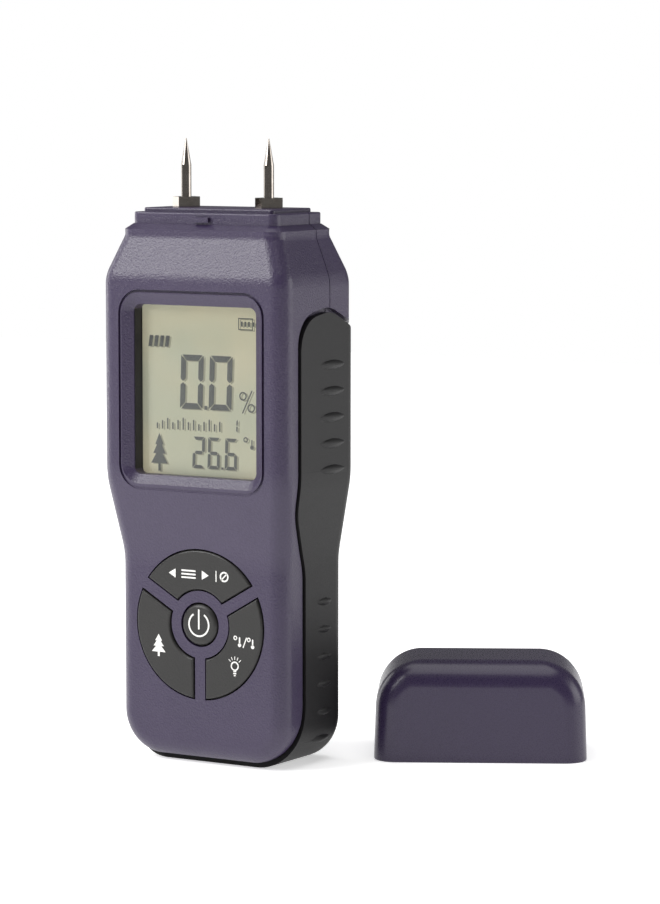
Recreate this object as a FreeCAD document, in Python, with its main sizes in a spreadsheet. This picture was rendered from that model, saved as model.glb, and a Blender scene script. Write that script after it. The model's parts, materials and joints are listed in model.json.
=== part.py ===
"""Two-pin wood moisture meter with its cap: a parametric document, one object for each piece.

Frame: millimetres, +Z up. The origin is the middle of the foot, the keys and display face -Y, and the
meter is symmetric about X = 0 apart from its display pictures. The cap stands mouth down beside it.
"""

import FreeCAD, Part
import math
import os
import re
import Sketcher

Vector = FreeCAD.Vector
Rotation = FreeCAD.Rotation
Placement = FreeCAD.Placement

# Driving dimensions. Each is one cell of the sheet, under its own alias.
SIZES = {
    # Outline of the case: a wide head above a narrower grip, and a shoulder that carries the collar.
    "head_wide": 57.0,
    "head_front": 17.6,
    "head_back": 17.6,
    "grip_wide": 51.2,
    "grip_front": 13.6,
    "grip_back": 16.2,
    "shoulder_wide": 48.8,
    "shoulder_deep": 28.9,
    "grip_tall": 54.5,
    "waist_tall": 20.5,
    "head_tall": 52.0,
    "flare_tall": 10.5,
    "neck_tall": 1.9,
    "waist_round": 40.0,
    "flare_round": 11.0,
    "neck_round": 4.0,
    "foot_round": 11.5,
    "front_round": 4.5,
    "back_round": 5.0,
    "wall": 2.6,
    "foot_lift": 1.5,
    "seam_back": 4.5,
    "seam_gap": 0.3,
    # How far a cutting tool runs past the face that it cuts.
    "over": 1.0,
    # Collar above the shoulder, which the cap pushes over.
    "ledge_tall": 1.4,
    "ledge_out": 0.2,
    "collar_wide": 44.5,
    "collar_deep": 23.6,
    "collar_tall": 3.0,
    "collar_round": 2.5,
    "collar_edge": 0.4,
    "tab_wide": 4.5,
    "tab_tall": 1.3,
    "tab_out": 0.9,
    "tab_root": 0.4,
    "tab_drop": 0.3,
    # Rubber side band with its finger ribs.
    "band_thick": 1.4,
    "band_proud": 0.5,
    "band_groove": 0.8,
    "band_front": 10.2,
    "band_grip": 3.5,
    "band_foot": 8.0,
    "band_lap": 3.3,
    "band_fit": 0.05,
    "band_foot_tall": 14.95,
    "band_foot_round": 8.0,
    "band_bend": 14.0,
    "band_bend_low": 2.05,
    "band_bend_high": 8.2,
    "band_rear_round": 8.0,
    "arch_drop": 8.3,
    "arch_front_drop": 2.2,
    "arch_corner": 9.0,
    "arch_rear_drop": 6.5,
    "arch_round": 11.0,
    "head_ribs": 5,
    "head_rib_drop": 13.9,
    "head_rib_back": 0.4,
    "head_rib_long": 17.0,
    "head_rib_pitch": 6.8,
    "head_rib_thick": 2.9,
    "head_rib_out": 1.2,
    "grip_ribs": 6,
    "grip_rib_drop": 11.7,
    "grip_rib_back": 1.2,
    "grip_rib_long": 10.5,
    "grip_rib_pitch": 7.2,
    "grip_rib_thick": 2.4,
    "grip_rib_out": 1.0,
    # Display: bezel in the front cover, window, liquid crystal panel and what holds it.
    "display_rise": 22.9,
    "bezel_wide": 44.2,
    "bezel_tall": 51.4,
    "bezel_round": 6.0,
    "bezel_line": 0.7,
    "bezel_step": 0.6,
    "bezel_sink": 1.9,
    "opening_wide": 37.7,
    "opening_tall": 44.3,
    "opening_round": 2.0,
    "sleeve_deep": 3.3,
    "sleeve_thick": 2.0,
    "window_thick": 0.9,
    "panel_thick": 2.8,
    "panel_lap": 2.6,
    "light_thick": 3.0,
    "light_in": 0.5,
    "light_short": 2.0,
    "lamp_thick": 0.4,
    "lamp_wide": 3.0,
    "holder_wall": 1.0,
    # Keypad: a power key in the middle of three ring segments.
    "keypad_rise": 37.1,
    "key_outer": 19.5,
    "key_inner": 9.2,
    "key_spoke": 3.8,
    "key_gap": 0.35,
    "key_proud": 0.5,
    "key_edge": 0.6,
    "power_wide": 11.0,
    "power_edge": 1.2,
    "key_flange": 0.7,
    "key_flange_thick": 1.0,
    "key_flange_gap": 0.2,
    "key_travel": 0.8,
    "plunger_wide": 4.8,
    "plunger_spare": 0.2,
    "mat_thick": 1.4,
    "mat_rim": 1.0,
    "dome_tall": 0.9,
    "dome_wall": 1.0,
    "dome_root": 0.2,
    "pill_wide": 4.6,
    "pill_thick": 0.5,
    "pill_fit": 0.3,
    # Electrodes.
    "pin_spacing": 25.6,
    "hex_flats": 6.2,
    "hex_tall": 2.7,
    "pin_wide": 2.65,
    "pin_straight": 8.3,
    "pin_point": 6.9,
    "pin_tip": 0.3,
    "stud_wide": 2.5,
    "stud_long": 8.0,
    "stud_fit": 0.05,
    "socket_wide": 5.0,
    "socket_long": 12.0,
    "socket_spare": 0.6,
    "plate_wide": 40.0,
    "plate_deep": 19.0,
    "plate_proud": 1.1,
    "plate_fit": 0.1,
    "plate_round": 1.0,
    "plate_edge": 0.4,
    "plate_lip": 1.2,
    "lip_thick": 3.0,
    "roof_spare": 1.5,
    # Circuit board and what is soldered to it.
    "board_thick": 1.6,
    "board_low": 8.0,
    "board_back": 2.4,
    "board_drop": 7.5,
    "board_step": 4.0,
    "board_rim": 1.6,
    "board_foot_in": 3.0,
    "chip_wide": 12.0,
    "chip_thick": 1.6,
    "buzzer_wide": 12.0,
    "buzzer_tall": 4.5,
    "sensor_wide": 2.4,
    "strip_wide": 3.0,
    "strip_thick": 0.4,
    "strip_foot": 4.0,
    # Screws and the posts that they hold.
    "post_wide": 5.2,
    "post_clear": 0.6,
    "seat_wall": 0.6,
    "pilot_deep": 9.0,
    "screw_wide": 2.2,
    "screw_fit": 0.1,
    "screw_head": 4.2,
    "screw_head_tall": 1.5,
    "screw_sunk": 3.0,
    "screw_bite": 8.0,
    "slot_wide": 0.6,
    "slot_long": 2.9,
    "slot_deep": 0.8,
    # Battery bay in the back of the grip.
    "cell_wide": 10.5,
    "cell_long": 44.5,
    "cell_gap": 0.5,
    "button_tall": 1.0,
    "button_root": 0.2,
    "bay_low": 6.6,
    "bay_wall": 1.0,
    "spring_wide": 6.0,
    "spring_wire": 0.7,
    "spring_turns": 4.0,
    "spring_fit": 0.05,
    "spring_squash": 0.02,
    "contact_thick": 0.4,
    "contact_fit": 0.2,
    "lead_wide": 1.2,
    "lead_drop": 3.0,
    "door_wide": 35.0,
    "door_low": 7.5,
    "door_tall": 45.5,
    "door_thick": 2.0,
    "door_gap": 0.3,
    "hinge_wide": 1.0,
    "hinge_long": 1.6,
    "hinge_fit": 0.05,
    "notch_round": 9.0,
    "notch_wide": 8.0,
    "notch_deep": 0.6,
    "notch_drop": 6.0,
    "line_wide": 12.0,
    "line_thick": 0.8,
    "line_deep": 0.5,
    "line_pitch": 2.0,
    "line_count": 4,
    "line_drop": 17.6,
    # Cap, and where it stands beside the meter.
    "cap_wide": 56.0,
    "cap_deep": 33.5,
    "cap_tall": 26.4,
    "cap_wall": 2.4,
    "cap_draft": 0.8,
    "cap_top_round": 12.5,
    "cap_lid_round": 7.0,
    "cap_edge_round": 6.0,
    "cap_fit": 0.3,
    "cap_rib": 2.0,
    "cap_rib_across": 15.7,
    "cap_rib_low": 1.0,
    "cap_rib_round": 2.0,
    "cap_rib_tall": 10.0,
    "cap_turn": 29.0,
    "cap_x": 52.5,
    "cap_y": 42.0,
}

# Levels and planes that follow from the driving dimensions.
LEVELS = {
    "waist_top": "grip_tall + waist_tall",
    "head_top": "waist_top + head_tall",
    "flare_top": "head_top + flare_tall",
    "shoulder_top": "flare_top + neck_tall",
    "collar_foot": "shoulder_top + ledge_tall",
    "collar_top": "collar_foot + collar_tall",
    "roof": "collar_foot - wall",
    "plate_top": "collar_top + plate_proud",
    "hex_top": "plate_top + hex_tall",
    "tip_top": "hex_top + pin_straight + pin_point",
    "cavity_low": "foot_lift + wall",
    "display_high": "waist_top + display_rise",
    "sleeve_front": "bezel_sink - head_front",
    "window_front": "sleeve_front + sleeve_deep",
    "panel_front": "window_front + window_thick",
    "light_front": "panel_front + panel_thick",
    "holder_back": "light_front + light_thick",
    "panel_wide": "opening_wide + 2 * panel_lap",
    "panel_tall": "opening_tall + 2 * panel_lap",
    "holder_wide": "panel_wide + 2 * holder_wall",
    "holder_tall": "panel_tall + 2 * holder_wall",
    "board_rear": "0 - board_back",
    "board_front": "board_rear - board_thick",
    "key_face": "0 - grip_front - key_proud",
    "key_floor": "wall - grip_front",
    "flange_front": "key_floor + key_flange_gap",
    "flange_back": "flange_front + key_flange_thick",
    "mat_front": "board_front - mat_thick",
    "dome_front": "mat_front - dome_tall",
    "plunger_back": "dome_front - key_travel - plunger_spare",
    "bay_back": "grip_back - wall",
    "bay_front": "bay_back - 2 * bay_wall - cell_wide",
    "cell_axis": "bay_front + bay_wall + cell_wide / 2",
    "bay_wide": "3 * cell_wide + 2 * cell_gap + 2 * bay_wall",
    "cell_low": "bay_low + bay_wall + contact_thick",
    "cell_high": "cell_low + cell_long",
    "spring_top": "cell_high + spring_turns * spring_wire + 2 * spring_fit",
    "bay_top": "spring_top + contact_thick + bay_wall",
    "door_top": "door_low + door_tall",
    "hinge_axis": "door_low + door_thick / 2",
    "hinge_plane": "grip_back - door_thick / 2",
    "lip_low": "roof - lip_thick",
    "socket_low": "plate_top - socket_long",
    "board_top": "lip_low - board_drop",
    "board_waist_wide": "grip_wide * 0.64",
    "board_waist_low": "grip_tall + waist_tall * 0.1",
    "board_waist_top": "grip_tall + waist_tall * 0.7",
    "lamp_front": "holder_back - lamp_thick",
    "post_high_z": "board_top + post_wide / 2 + post_clear",
    "post_high_x": "head_wide / 2 - wall - 0.7 * post_wide",
    "post_low_z": "grip_tall + 0.42 * waist_tall",
    "post_low_x": "grip_wide / 2 - wall - 0.5 * post_wide",
    "screw_plane": "head_back - screw_sunk - wall",
    "screw_top": "screw_plane + screw_head_tall",
    "screw_end": "seam_back - seam_gap / 2 - screw_bite",
    "door_foot_round": "door_thick * 0.495",
}

doc = FreeCAD.newDocument("moisture_meter")
sheet = doc.addObject("Spreadsheet::Sheet", "Sizes")
for row, (alias, number) in enumerate(SIZES.items(), start=1):
    sheet.set(f"A{row}", alias)
    sheet.set(f"B{row}", str(number))
    sheet.setAlias(f"B{row}", alias)
doc.recompute()

levels = doc.addObject("App::VarSet", "Levels")


def spell(text):
    """Puts the name of the object that holds each size in front of it, so that an expression finds it."""

    def home(match):
        word = match.group(0)
        if word in SIZES:
            return "Sizes." + word
        if word in LEVELS:
            return "Levels." + word
        return word

    return re.sub(r"[a-z_]+", home, text)


for alias, text in LEVELS.items():
    levels.addProperty("App::PropertyFloat", alias, "Levels")
    levels.setExpression(alias, spell(text))
doc.recompute()


def size(name):
    """The value of one size or level, in millimetres."""
    return float(getattr(sheet, name) if name in SIZES else getattr(levels, name))


def bind(thing, **sizes):
    """Binds properties to sizes. Two underscores stand for a dot."""
    for prop, text in sizes.items():
        thing.setExpression(prop.replace("__", "."), spell(text))
    return thing


def at(thing, x="0", y="0", z="0"):
    return bind(thing, Placement__Base__x=x, Placement__Base__y=y, Placement__Base__z=z)


def block(name, x, y, z):
    """A box between two expressions along each axis."""
    thing = doc.addObject("Part::Box", name)
    (x0, x1), (y0, y1), (z0, z1) = x, y, z
    bind(thing, Length=f"({x1}) - ({x0})", Width=f"({y1}) - ({y0})", Height=f"({z1}) - ({z0})")
    return at(thing, x0, y0, z0)


def slab(name, wide, y, middle, tall):
    """A box centred on X = 0 and on a height, between two Y planes."""
    return block(
        name,
        (f"0 - ({wide}) / 2", f"({wide}) / 2"),
        y,
        (f"({middle}) - ({tall}) / 2", f"({middle}) + ({tall}) / 2"),
    )


TURNS = {
    "X": Rotation(Vector(0, 1, 0), 90),
    "Y": Rotation(Vector(1, 0, 0), -90),
    "Z": Rotation(),
}


def rod(name, axis, wide, start, end, x="0", y="0", z="0"):
    """A round bar of a diameter, along an axis, from start to end. The two other places are its centre."""
    thing = doc.addObject("Part::Cylinder", name)
    thing.Placement = Placement(Vector(), TURNS[axis])
    bind(thing, Radius=f"({wide}) / 2", Height=f"({end}) - ({start})")
    places = {"X": (start, y, z), "Y": (x, start, z), "Z": (x, y, start)}[axis]
    return at(thing, *places)


def fuse(name, *parts):
    thing = doc.addObject("Part::MultiFuse", name)
    thing.Shapes = list(parts)
    thing.Refine = True
    return thing


def cut(name, base, *tools):
    tool = tools[0] if len(tools) == 1 else fuse(name + "_tools", *tools)
    thing = doc.addObject("Part::Cut", name)
    thing.Base = base
    thing.Tool = tool
    thing.Refine = True
    return thing


def group(name, *parts):
    """Separate solids that share a node."""
    thing = doc.addObject("Part::Compound", name)
    thing.Links = list(parts)
    return thing


ALONG = {"X": "YZ_Plane", "Y": "XZ_Plane", "Z": "XY_Plane"}


def drawing(body, name, axis, place):
    """A sketch in a body, across an axis and at a place along it."""
    sketch = body.newObject("Sketcher::SketchObject", name + "_sketch")
    plane = [f for f in body.Origin.OriginFeatures if f.Role == ALONG[axis]][0]
    sketch.AttachmentSupport = [(plane, "")]
    sketch.MapMode = "FlatFace"
    # The XZ plane looks towards -Y, so places along Y count backwards from it.
    return bind(sketch, AttachmentOffset__Base__z=f"0 - ({place})" if axis == "Y" else place)


def hold(sketch, label, text, *constraint):
    """Adds a dimension to a sketch and binds it to an expression."""
    index = sketch.addConstraint(Sketcher.Constraint(*constraint))
    sketch.renameConstraint(index, label)
    sketch.setExpression("Constraints." + label, spell(text))


def outline(*points):
    """Draws a closed outline through points, each given by two expressions."""

    def draw(sketch):
        first = sketch.GeometryCount
        count = len(points)
        turns = [2 * math.pi * index / count for index in range(count + 1)]
        start = [Vector(math.cos(turn), math.sin(turn), 0) * 10 for turn in turns]
        for near, ahead in zip(start, start[1:]):
            sketch.addGeometry(Part.LineSegment(near, ahead))
        for index, (a, b) in enumerate(points):
            line = first + index
            sketch.addConstraint(Sketcher.Constraint("Coincident", line, 2, first + (index + 1) % count, 1))
            hold(sketch, f"across_{line}", a, "DistanceX", line, 1, start[index].x)
            hold(sketch, f"up_{line}", b, "DistanceY", line, 1, start[index].y)

    return draw


def oblong(wide, tall, a="0", b="0"):
    """Draws a rectangle about a centre."""
    left, right = f"({a}) - ({wide}) / 2", f"({a}) + ({wide}) / 2"
    foot, head = f"({b}) - ({tall}) / 2", f"({b}) + ({tall}) / 2"
    return outline((left, foot), (right, foot), (right, head), (left, head))


def circle(wide, a="0", b="0"):
    """Draws a circle of a diameter about a centre."""

    def draw(sketch):
        index = sketch.GeometryCount
        sketch.addGeometry(Part.Circle(Vector(1, 1, 0), Vector(0, 0, 1), 1))
        hold(sketch, f"across_{index}", a, "DistanceX", index, 3, 1)
        hold(sketch, f"up_{index}", b, "DistanceY", index, 3, 1)
        hold(sketch, f"wide_{index}", wide, "Diameter", index, 2)

    return draw


def boss(body, name, axis, start, end, draw):
    """Pads a drawing between two places along an axis."""
    sketch = drawing(body, name, axis, end if axis == "Y" else start)
    draw(sketch)
    pad = body.newObject("PartDesign::Pad", name)
    pad.Profile = sketch
    return bind(pad, Length=f"({end}) - ({start})")


def sink(body, name, axis, start, end, draw):
    """Pockets a drawing between two places along an axis."""
    sketch = drawing(body, name, axis, start if axis == "Y" else end)
    draw(sketch)
    pocket = body.newObject("PartDesign::Pocket", name)
    pocket.Profile = sketch
    return bind(pocket, Length=f"({end}) - ({start})")


def soften(body, name, feature, radius, wanted):
    """Rounds those edges of a feature for which wanted(edge) holds."""
    doc.recompute()
    edges = [f"Edge{index}" for index, edge in enumerate(feature.Shape.Edges, start=1) if wanted(edge)]
    fillet = body.newObject("PartDesign::Fillet", name)
    fillet.Base = (feature, edges)
    return bind(fillet, Radius=radius)


def mould(name, shape):
    """A piece whose shape is made by the outline functions below."""
    thing = doc.addObject("Part::Feature", name)
    thing.Shape = shape
    return thing


pieces = {}


def piece(node, thing):
    """Names a finished sub-part. Its label is its node, and names its file."""
    thing.Label = node
    pieces[node] = thing
    return thing


# Outlines with rounded corners.


def rounded(corners, place):
    """A closed wire through corners (a, b, radius), rounded by arcs. place turns (a, b) into a point."""
    count = len(corners)
    ends = []
    for index, (a, b, radius) in enumerate(corners):
        if radius <= 0:
            ends.append(((a, b), None, (a, b)))
            continue
        before = corners[index - 1]
        after = corners[(index + 1) % count]
        back = Vector(before[0] - a, before[1] - b, 0).normalize()
        on = Vector(after[0] - a, after[1] - b, 0).normalize()
        half = back.getAngle(on) / 2
        reach = radius / math.tan(half)
        middle = (back + on).normalize()
        centre = Vector(a, b, 0) + middle * (radius / math.sin(half))
        start = Vector(a, b, 0) + back * reach
        crown = centre - middle * radius
        end = Vector(a, b, 0) + on * reach
        ends.append(((start.x, start.y), (crown.x, crown.y), (end.x, end.y)))
    edges = []
    for index, (start, crown, end) in enumerate(ends):
        if crown:
            edges.append(Part.Arc(place(*start), place(*crown), place(*end)).toShape())
        follow = ends[(index + 1) % count][0]
        if math.dist(end, follow) > 1e-6:
            edges.append(Part.LineSegment(place(*end), place(*follow)).toShape())
    return Part.Wire(edges)


def front_prism(corners, reach):
    """An outline seen from the front, pushed from -reach to +reach along Y."""
    wire = rounded(corners, lambda a, b: Vector(a, -reach, b))
    return Part.Face(wire).extrude(Vector(0, 2 * reach, 0))


def side_prism(corners, reach):
    """An outline seen from the side, pushed from -reach to +reach along X."""
    wire = rounded(corners, lambda a, b: Vector(-reach, a, b))
    return Part.Face(wire).extrude(Vector(2 * reach, 0, 0))


def pane(wide, tall, radius, y, middle):
    """A rounded rectangle in an XZ plane."""
    x, z = wide / 2, tall / 2
    corners = [(-x, -z, radius), (x, -z, radius), (x, z, radius), (-x, z, radius)]
    return rounded(corners, lambda a, b: Vector(a, y, middle + b))


def footprint(wide, deep, radius, z):
    """A rounded rectangle in an XY plane."""
    x, y = wide / 2, deep / 2
    corners = [(-x, -y, radius), (x, -y, radius), (x, y, radius), (-x, y, radius)]
    return rounded(corners, lambda a, b: Vector(a, b, z))


def loft(*wires):
    return Part.makeLoft(list(wires), True, True)


def case_heights(low):
    """The heights of the case's corners, from its underside to its shoulder."""
    return [low] + [size(n) for n in ("grip_tall", "waist_top", "head_top", "flare_top", "shoulder_top")]


def case_rounds(inset):
    """The radii of the case's corners, from the foot to the shoulder, set in by a wall."""
    rounds = [max(size("foot_round") - inset, 1.0), size("waist_round") + inset, size("waist_round") - inset]
    return rounds + [size("flare_round") - inset, size("neck_round") + inset, 0]


def case_outline(inset, low):
    """The case seen from the front, pushed right through in Y."""
    head, grip, neck = (size(n) / 2 - inset for n in ("head_wide", "grip_wide", "shoulder_wide"))
    half = list(zip([grip, grip, head, head, neck, neck], case_heights(low), case_rounds(inset)))
    corners = half + [(-a, b, r) for a, b, r in reversed(half)]
    return front_prism(corners, size("head_front") + size("head_back"))


def case_block(inset, low):
    """The case's outer block, or one set in by a wall. low is the height of its flat underside."""
    outline = case_outline(inset, low)
    heights = case_heights(low)
    rounds = case_rounds(inset)
    neck_deep = size("shoulder_deep") / 2 - inset
    fronts = [size(n) - inset for n in ("grip_front", "grip_front", "head_front", "head_front")]
    backs = [size(n) - inset for n in ("grip_back", "grip_back", "head_back", "head_back")]
    rounds[0] = 0
    front = [(-a, b, r) for a, b, r in zip(fronts + [neck_deep] * 2, heights, rounds)]
    back = list(zip(backs + [neck_deep] * 2, heights, rounds))
    profile = side_prism(front + back[::-1], size("head_wide"))
    body = outline.common(profile)

    def rim(front_side):
        """The edges round the front or back face, down both sides and under the foot."""
        edges = []
        for edge in body.Edges:
            ends = [v.Point for v in edge.Vertexes]
            centre = edge.CenterOfMass
            level = abs(ends[0].z - ends[-1].z) < 1e-6
            across = abs(ends[0].y - ends[-1].y) > 1e-3
            low_edge = level and not across and centre.z < low + 1e-3
            if (centre.y < 0) == front_side and (not level or low_edge):
                edges.append(edge)
        return edges

    body = body.makeFillet(size("front_round") - inset, rim(True))
    return body.makeFillet(size("back_round") - inset, rim(False))


def band_prism(grow):
    """The side band seen from the side, with its rounded arch at the top. grow widens its front and arch."""
    seam = size("seam_back")
    apex = size("head_top") - size("arch_drop") + 1.5 * grow
    rear = size("head_back") + size("band_thick") + grow
    head = -size("band_front") - grow
    grip = -size("band_grip") - grow
    foot = -size("band_foot") - grow
    below = -size("foot_round")
    bend = size("band_bend")
    corners = [
        (foot, below, 0),
        (foot, 0, size("band_foot_round")),
        (grip, size("band_foot_tall"), bend),
        (grip, size("grip_tall") - size("band_bend_low"), bend),
        (head, size("waist_top") - size("band_bend_high"), bend),
        (head, apex - size("arch_front_drop"), size("arch_corner")),
        (seam, apex, size("arch_round")),
        (rear, apex - size("arch_rear_drop"), size("band_rear_round")),
        (rear, below, 0),
    ]
    lap = size("band_lap") + grow / 2
    panel = case_outline(lap, lap).common(back_half)
    return side_prism(corners, size("head_wide")).cut(panel)


def spindle(x, y, z, long, thick):
    """A finger rib: a bar along Y, thick in the middle and tapering to both ends."""
    low = Vector(x, y - long / 2, z)
    high = Vector(x, y + long / 2, z)
    crown = Vector(x, y, z + thick / 2)
    wire = Part.Wire([Part.Arc(low, crown, high).toShape(), Part.LineSegment(high, low).toShape()])
    return Part.Face(wire).revolve(low, Vector(0, 1, 0), 360)


def grip_edge(z):
    """Half the grip's width at a height near the rounded foot."""
    radius = size("foot_round")
    half = size("grip_wide") / 2
    if z >= radius:
        return half
    return half - radius + math.sqrt(radius**2 - (radius - z) ** 2)


outer = case_block(0.0, size("foot_lift"))
band_outer = case_block(-size("band_proud"), 0.0)
band_inner = case_block(size("band_thick"), size("foot_lift"))
band_seat = case_block(size("band_thick") + size("band_fit"), size("foot_lift") + size("band_fit"))
cavity = case_block(size("wall"), size("cavity_low"))

seam = size("seam_back")
half_gap = size("seam_gap") / 2
far = 2 * size("tip_top")
front_half = Part.makeBox(2 * far, far, 2 * far, Vector(-far, seam - half_gap - far, -far))
back_half = Part.makeBox(2 * far, far, 2 * far, Vector(-far, seam + half_gap, -far))

# Case block with its ledge and collar, and the recess for the band.
ledge = loft(
    footprint(size("shoulder_wide"), size("shoulder_deep"), size("front_round"), size("shoulder_top")),
    footprint(
        size("collar_wide") + 2 * size("ledge_out"),
        size("collar_deep") + 2 * size("ledge_out"),
        size("collar_round"),
        size("collar_foot"),
    ),
)
collar = Part.Face(
    footprint(size("collar_wide"), size("collar_deep"), size("collar_round"), size("collar_foot"))
).extrude(Vector(0, 0, size("collar_tall")))
collar_rim = [e for e in collar.Edges if abs(e.BoundBox.ZMin - size("collar_top")) < 1e-6]
collar = collar.makeFillet(size("collar_edge"), collar_rim)
recess = outer.common(band_prism(size("band_groove"))).cut(band_seat)
hull = outer.cut(recess).fuse([ledge, collar]).removeSplitter()

# Hollow of the case, up to the roof under the collar.
chamber_foot = size("shoulder_top") - size("wall")
chamber_roof = Part.Face(
    footprint(
        size("plate_wide") + 2 * size("roof_spare"),
        size("plate_deep") + 2 * size("roof_spare"),
        size("plate_round"),
        chamber_foot,
    )
).extrude(Vector(0, 0, size("ledge_tall")))
hollow_limit = Part.makeBox(2 * far, 2 * far, far + chamber_foot, Vector(-far, -far, -far))
hollow = cavity.common(hollow_limit).fuse(chamber_roof)
plate_hole = Part.Face(
    footprint(
        size("plate_wide") + 2 * size("plate_fit"),
        size("plate_deep") + 2 * size("plate_fit"),
        size("plate_round") + size("plate_fit"),
        size("roof") - size("over"),
    )
).extrude(Vector(0, 0, size("collar_top") - size("roof") + 2 * size("over")))

# Places of the case screws: two in the shoulders and two beside the waist of the board.
post_spots = [
    (side * size(f"post_{row}_x"), size(f"post_{row}_z")) for row in ("high", "low") for side in (-1, 1)
]


def bar(x, z, wide, start, end):
    """A round bar along Y, for use inside the moulded shapes."""
    return Part.makeCylinder(wide / 2, end - start, Vector(x, start, z), Vector(0, 1, 0))


# Front cover: window frame, key holes, posts for the screws.
frame_middle = size("display_high")
sleeve = Part.Face(
    pane(
        size("opening_wide") + 2 * size("sleeve_thick"),
        size("opening_tall") + 2 * size("sleeve_thick"),
        size("opening_round") + size("sleeve_thick"),
        -size("head_front"),
        frame_middle,
    )
).extrude(Vector(0, size("head_front") + size("window_front"), 0))
keep_front = sleeve
for x, z in post_spots:
    keep_front = keep_front.fuse(bar(x, z, size("post_wide"), -size("head_front"), seam - half_gap))
front_hollow = hollow.cut(keep_front)
front_shape = hull.common(front_half).cut(front_hollow).cut(plate_hole)

opening = Part.Face(
    pane(
        size("opening_wide"),
        size("opening_tall"),
        size("opening_round"),
        -size("head_front") - size("over"),
        frame_middle,
    )
).extrude(Vector(0, size("head_front"), 0))
slope = loft(
    pane(
        size("bezel_wide") - 2 * size("bezel_step"),
        size("bezel_tall") - 2 * size("bezel_step"),
        size("bezel_round") - size("bezel_line"),
        -size("head_front"),
        frame_middle,
    ),
    pane(
        size("opening_wide"),
        size("opening_tall"),
        size("opening_round"),
        size("bezel_sink") - size("head_front"),
        frame_middle,
    ),
)
line_outer = Part.Face(
    pane(
        size("bezel_wide") + size("bezel_line"),
        size("bezel_tall") + size("bezel_line"),
        size("bezel_round") + size("bezel_line") / 2,
        -size("head_front") - size("over"),
        frame_middle,
    )
).extrude(Vector(0, size("over") + size("bezel_line"), 0))
line_inner = Part.Face(
    pane(
        size("bezel_wide") - size("bezel_line"),
        size("bezel_tall") - size("bezel_line"),
        size("bezel_round") - size("bezel_line") / 2,
        -size("head_front") - size("over"),
        frame_middle,
    )
).extrude(Vector(0, size("over") + size("bezel_line"), 0))
front_shape = front_shape.cut(opening).cut(slope).cut(line_outer.cut(line_inner))


def sector_face(inner, outer_radius, spoke, y):
    """A ring segment between two spokes, pointing up, about the keypad's axis."""
    corner_in = math.asin(spoke / 2 / inner)
    corner_out = math.asin(spoke / 2 / outer_radius)
    low, high = math.radians(30), math.radians(150)

    def polar(radius, angle):
        return Vector(radius * math.cos(angle), y, radius * math.sin(angle))

    edges = [
        Part.Arc(
            polar(outer_radius, low + corner_out),
            polar(outer_radius, math.pi / 2),
            polar(outer_radius, high - corner_out),
        ).toShape(),
        Part.LineSegment(polar(outer_radius, high - corner_out), polar(inner, high - corner_in)).toShape(),
        Part.Arc(
            polar(inner, high - corner_in), polar(inner, math.pi / 2), polar(inner, low + corner_in)
        ).toShape(),
        Part.LineSegment(polar(inner, low + corner_in), polar(outer_radius, low + corner_out)).toShape(),
    ]
    return Part.Face(Part.Wire(edges))


gap = size("key_gap")
key_centre = Vector(0, 0, size("keypad_rise"))
SEGMENTS = {"key_mode": 0, "key_unit": 120, "key_wood": 240}
for turn in SEGMENTS.values():
    hole = sector_face(
        size("key_inner") - gap, size("key_outer") + gap, size("key_spoke") - 2 * gap, -size("head_front")
    ).extrude(Vector(0, size("head_front"), 0))
    hole.Placement = Placement(key_centre, Rotation(Vector(0, 1, 0), turn))
    front_shape = front_shape.cut(hole)
power_hole = bar(0, size("keypad_rise"), size("power_wide") + 2 * gap, -size("head_front"), 0)
front_shape = front_shape.cut(power_hole)
for x, z in post_spots:
    pilot = bar(x, z, size("screw_wide"), seam - half_gap - size("pilot_deep"), seam)
    front_shape = front_shape.cut(pilot)
tab = Part.makeBox(
    size("tab_wide"),
    size("tab_out") + size("tab_root"),
    size("tab_tall"),
    Vector(
        -size("tab_wide") / 2,
        -size("collar_deep") / 2 - size("tab_out"),
        size("collar_foot") + (size("collar_tall") - size("tab_tall")) / 2 - size("tab_drop"),
    ),
)
front_shape = front_shape.fuse(tab).removeSplitter()
piece("front_cover", mould("FrontCover", front_shape))

# Back cover: posts with sunk screw seats, battery opening and hinge holes.
keep_back = None
for x, z in post_spots:
    post = bar(x, z, size("post_wide") + 2 * size("seat_wall"), seam + half_gap, size("head_back"))
    keep_back = post if keep_back is None else keep_back.fuse(post)
back_shape = hull.common(back_half).cut(hollow.cut(keep_back)).cut(plate_hole)
for x, z in post_spots:
    beyond = size("head_back") + size("over")
    shank = bar(x, z, size("screw_wide") + 2 * size("screw_fit"), seam, beyond)
    seat = bar(x, z, size("screw_head") + 2 * size("screw_fit"), size("screw_plane"), beyond)
    back_shape = back_shape.cut(shank).cut(seat)
door_edge = size("door_wide") / 2 + size("door_gap")
door_hole = Part.makeBox(
    2 * door_edge,
    size("wall") + 2 * size("over"),
    size("door_tall") + 2 * size("door_gap"),
    Vector(-door_edge, size("bay_back") - size("over"), size("door_low") - size("door_gap")),
)
hinge_hole = Part.makeCylinder(
    size("hinge_wide") / 2 + size("hinge_fit"),
    size("door_wide") + 2 * size("hinge_long") + 2 * size("door_gap"),
    Vector(
        -size("door_wide") / 2 - size("hinge_long") - size("door_gap"),
        size("hinge_plane"),
        size("hinge_axis"),
    ),
    Vector(1, 0, 0),
)
back_shape = back_shape.cut(door_hole).cut(hinge_hole)
piece("rear_cover", mould("RearCover", back_shape.removeSplitter()))

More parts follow.
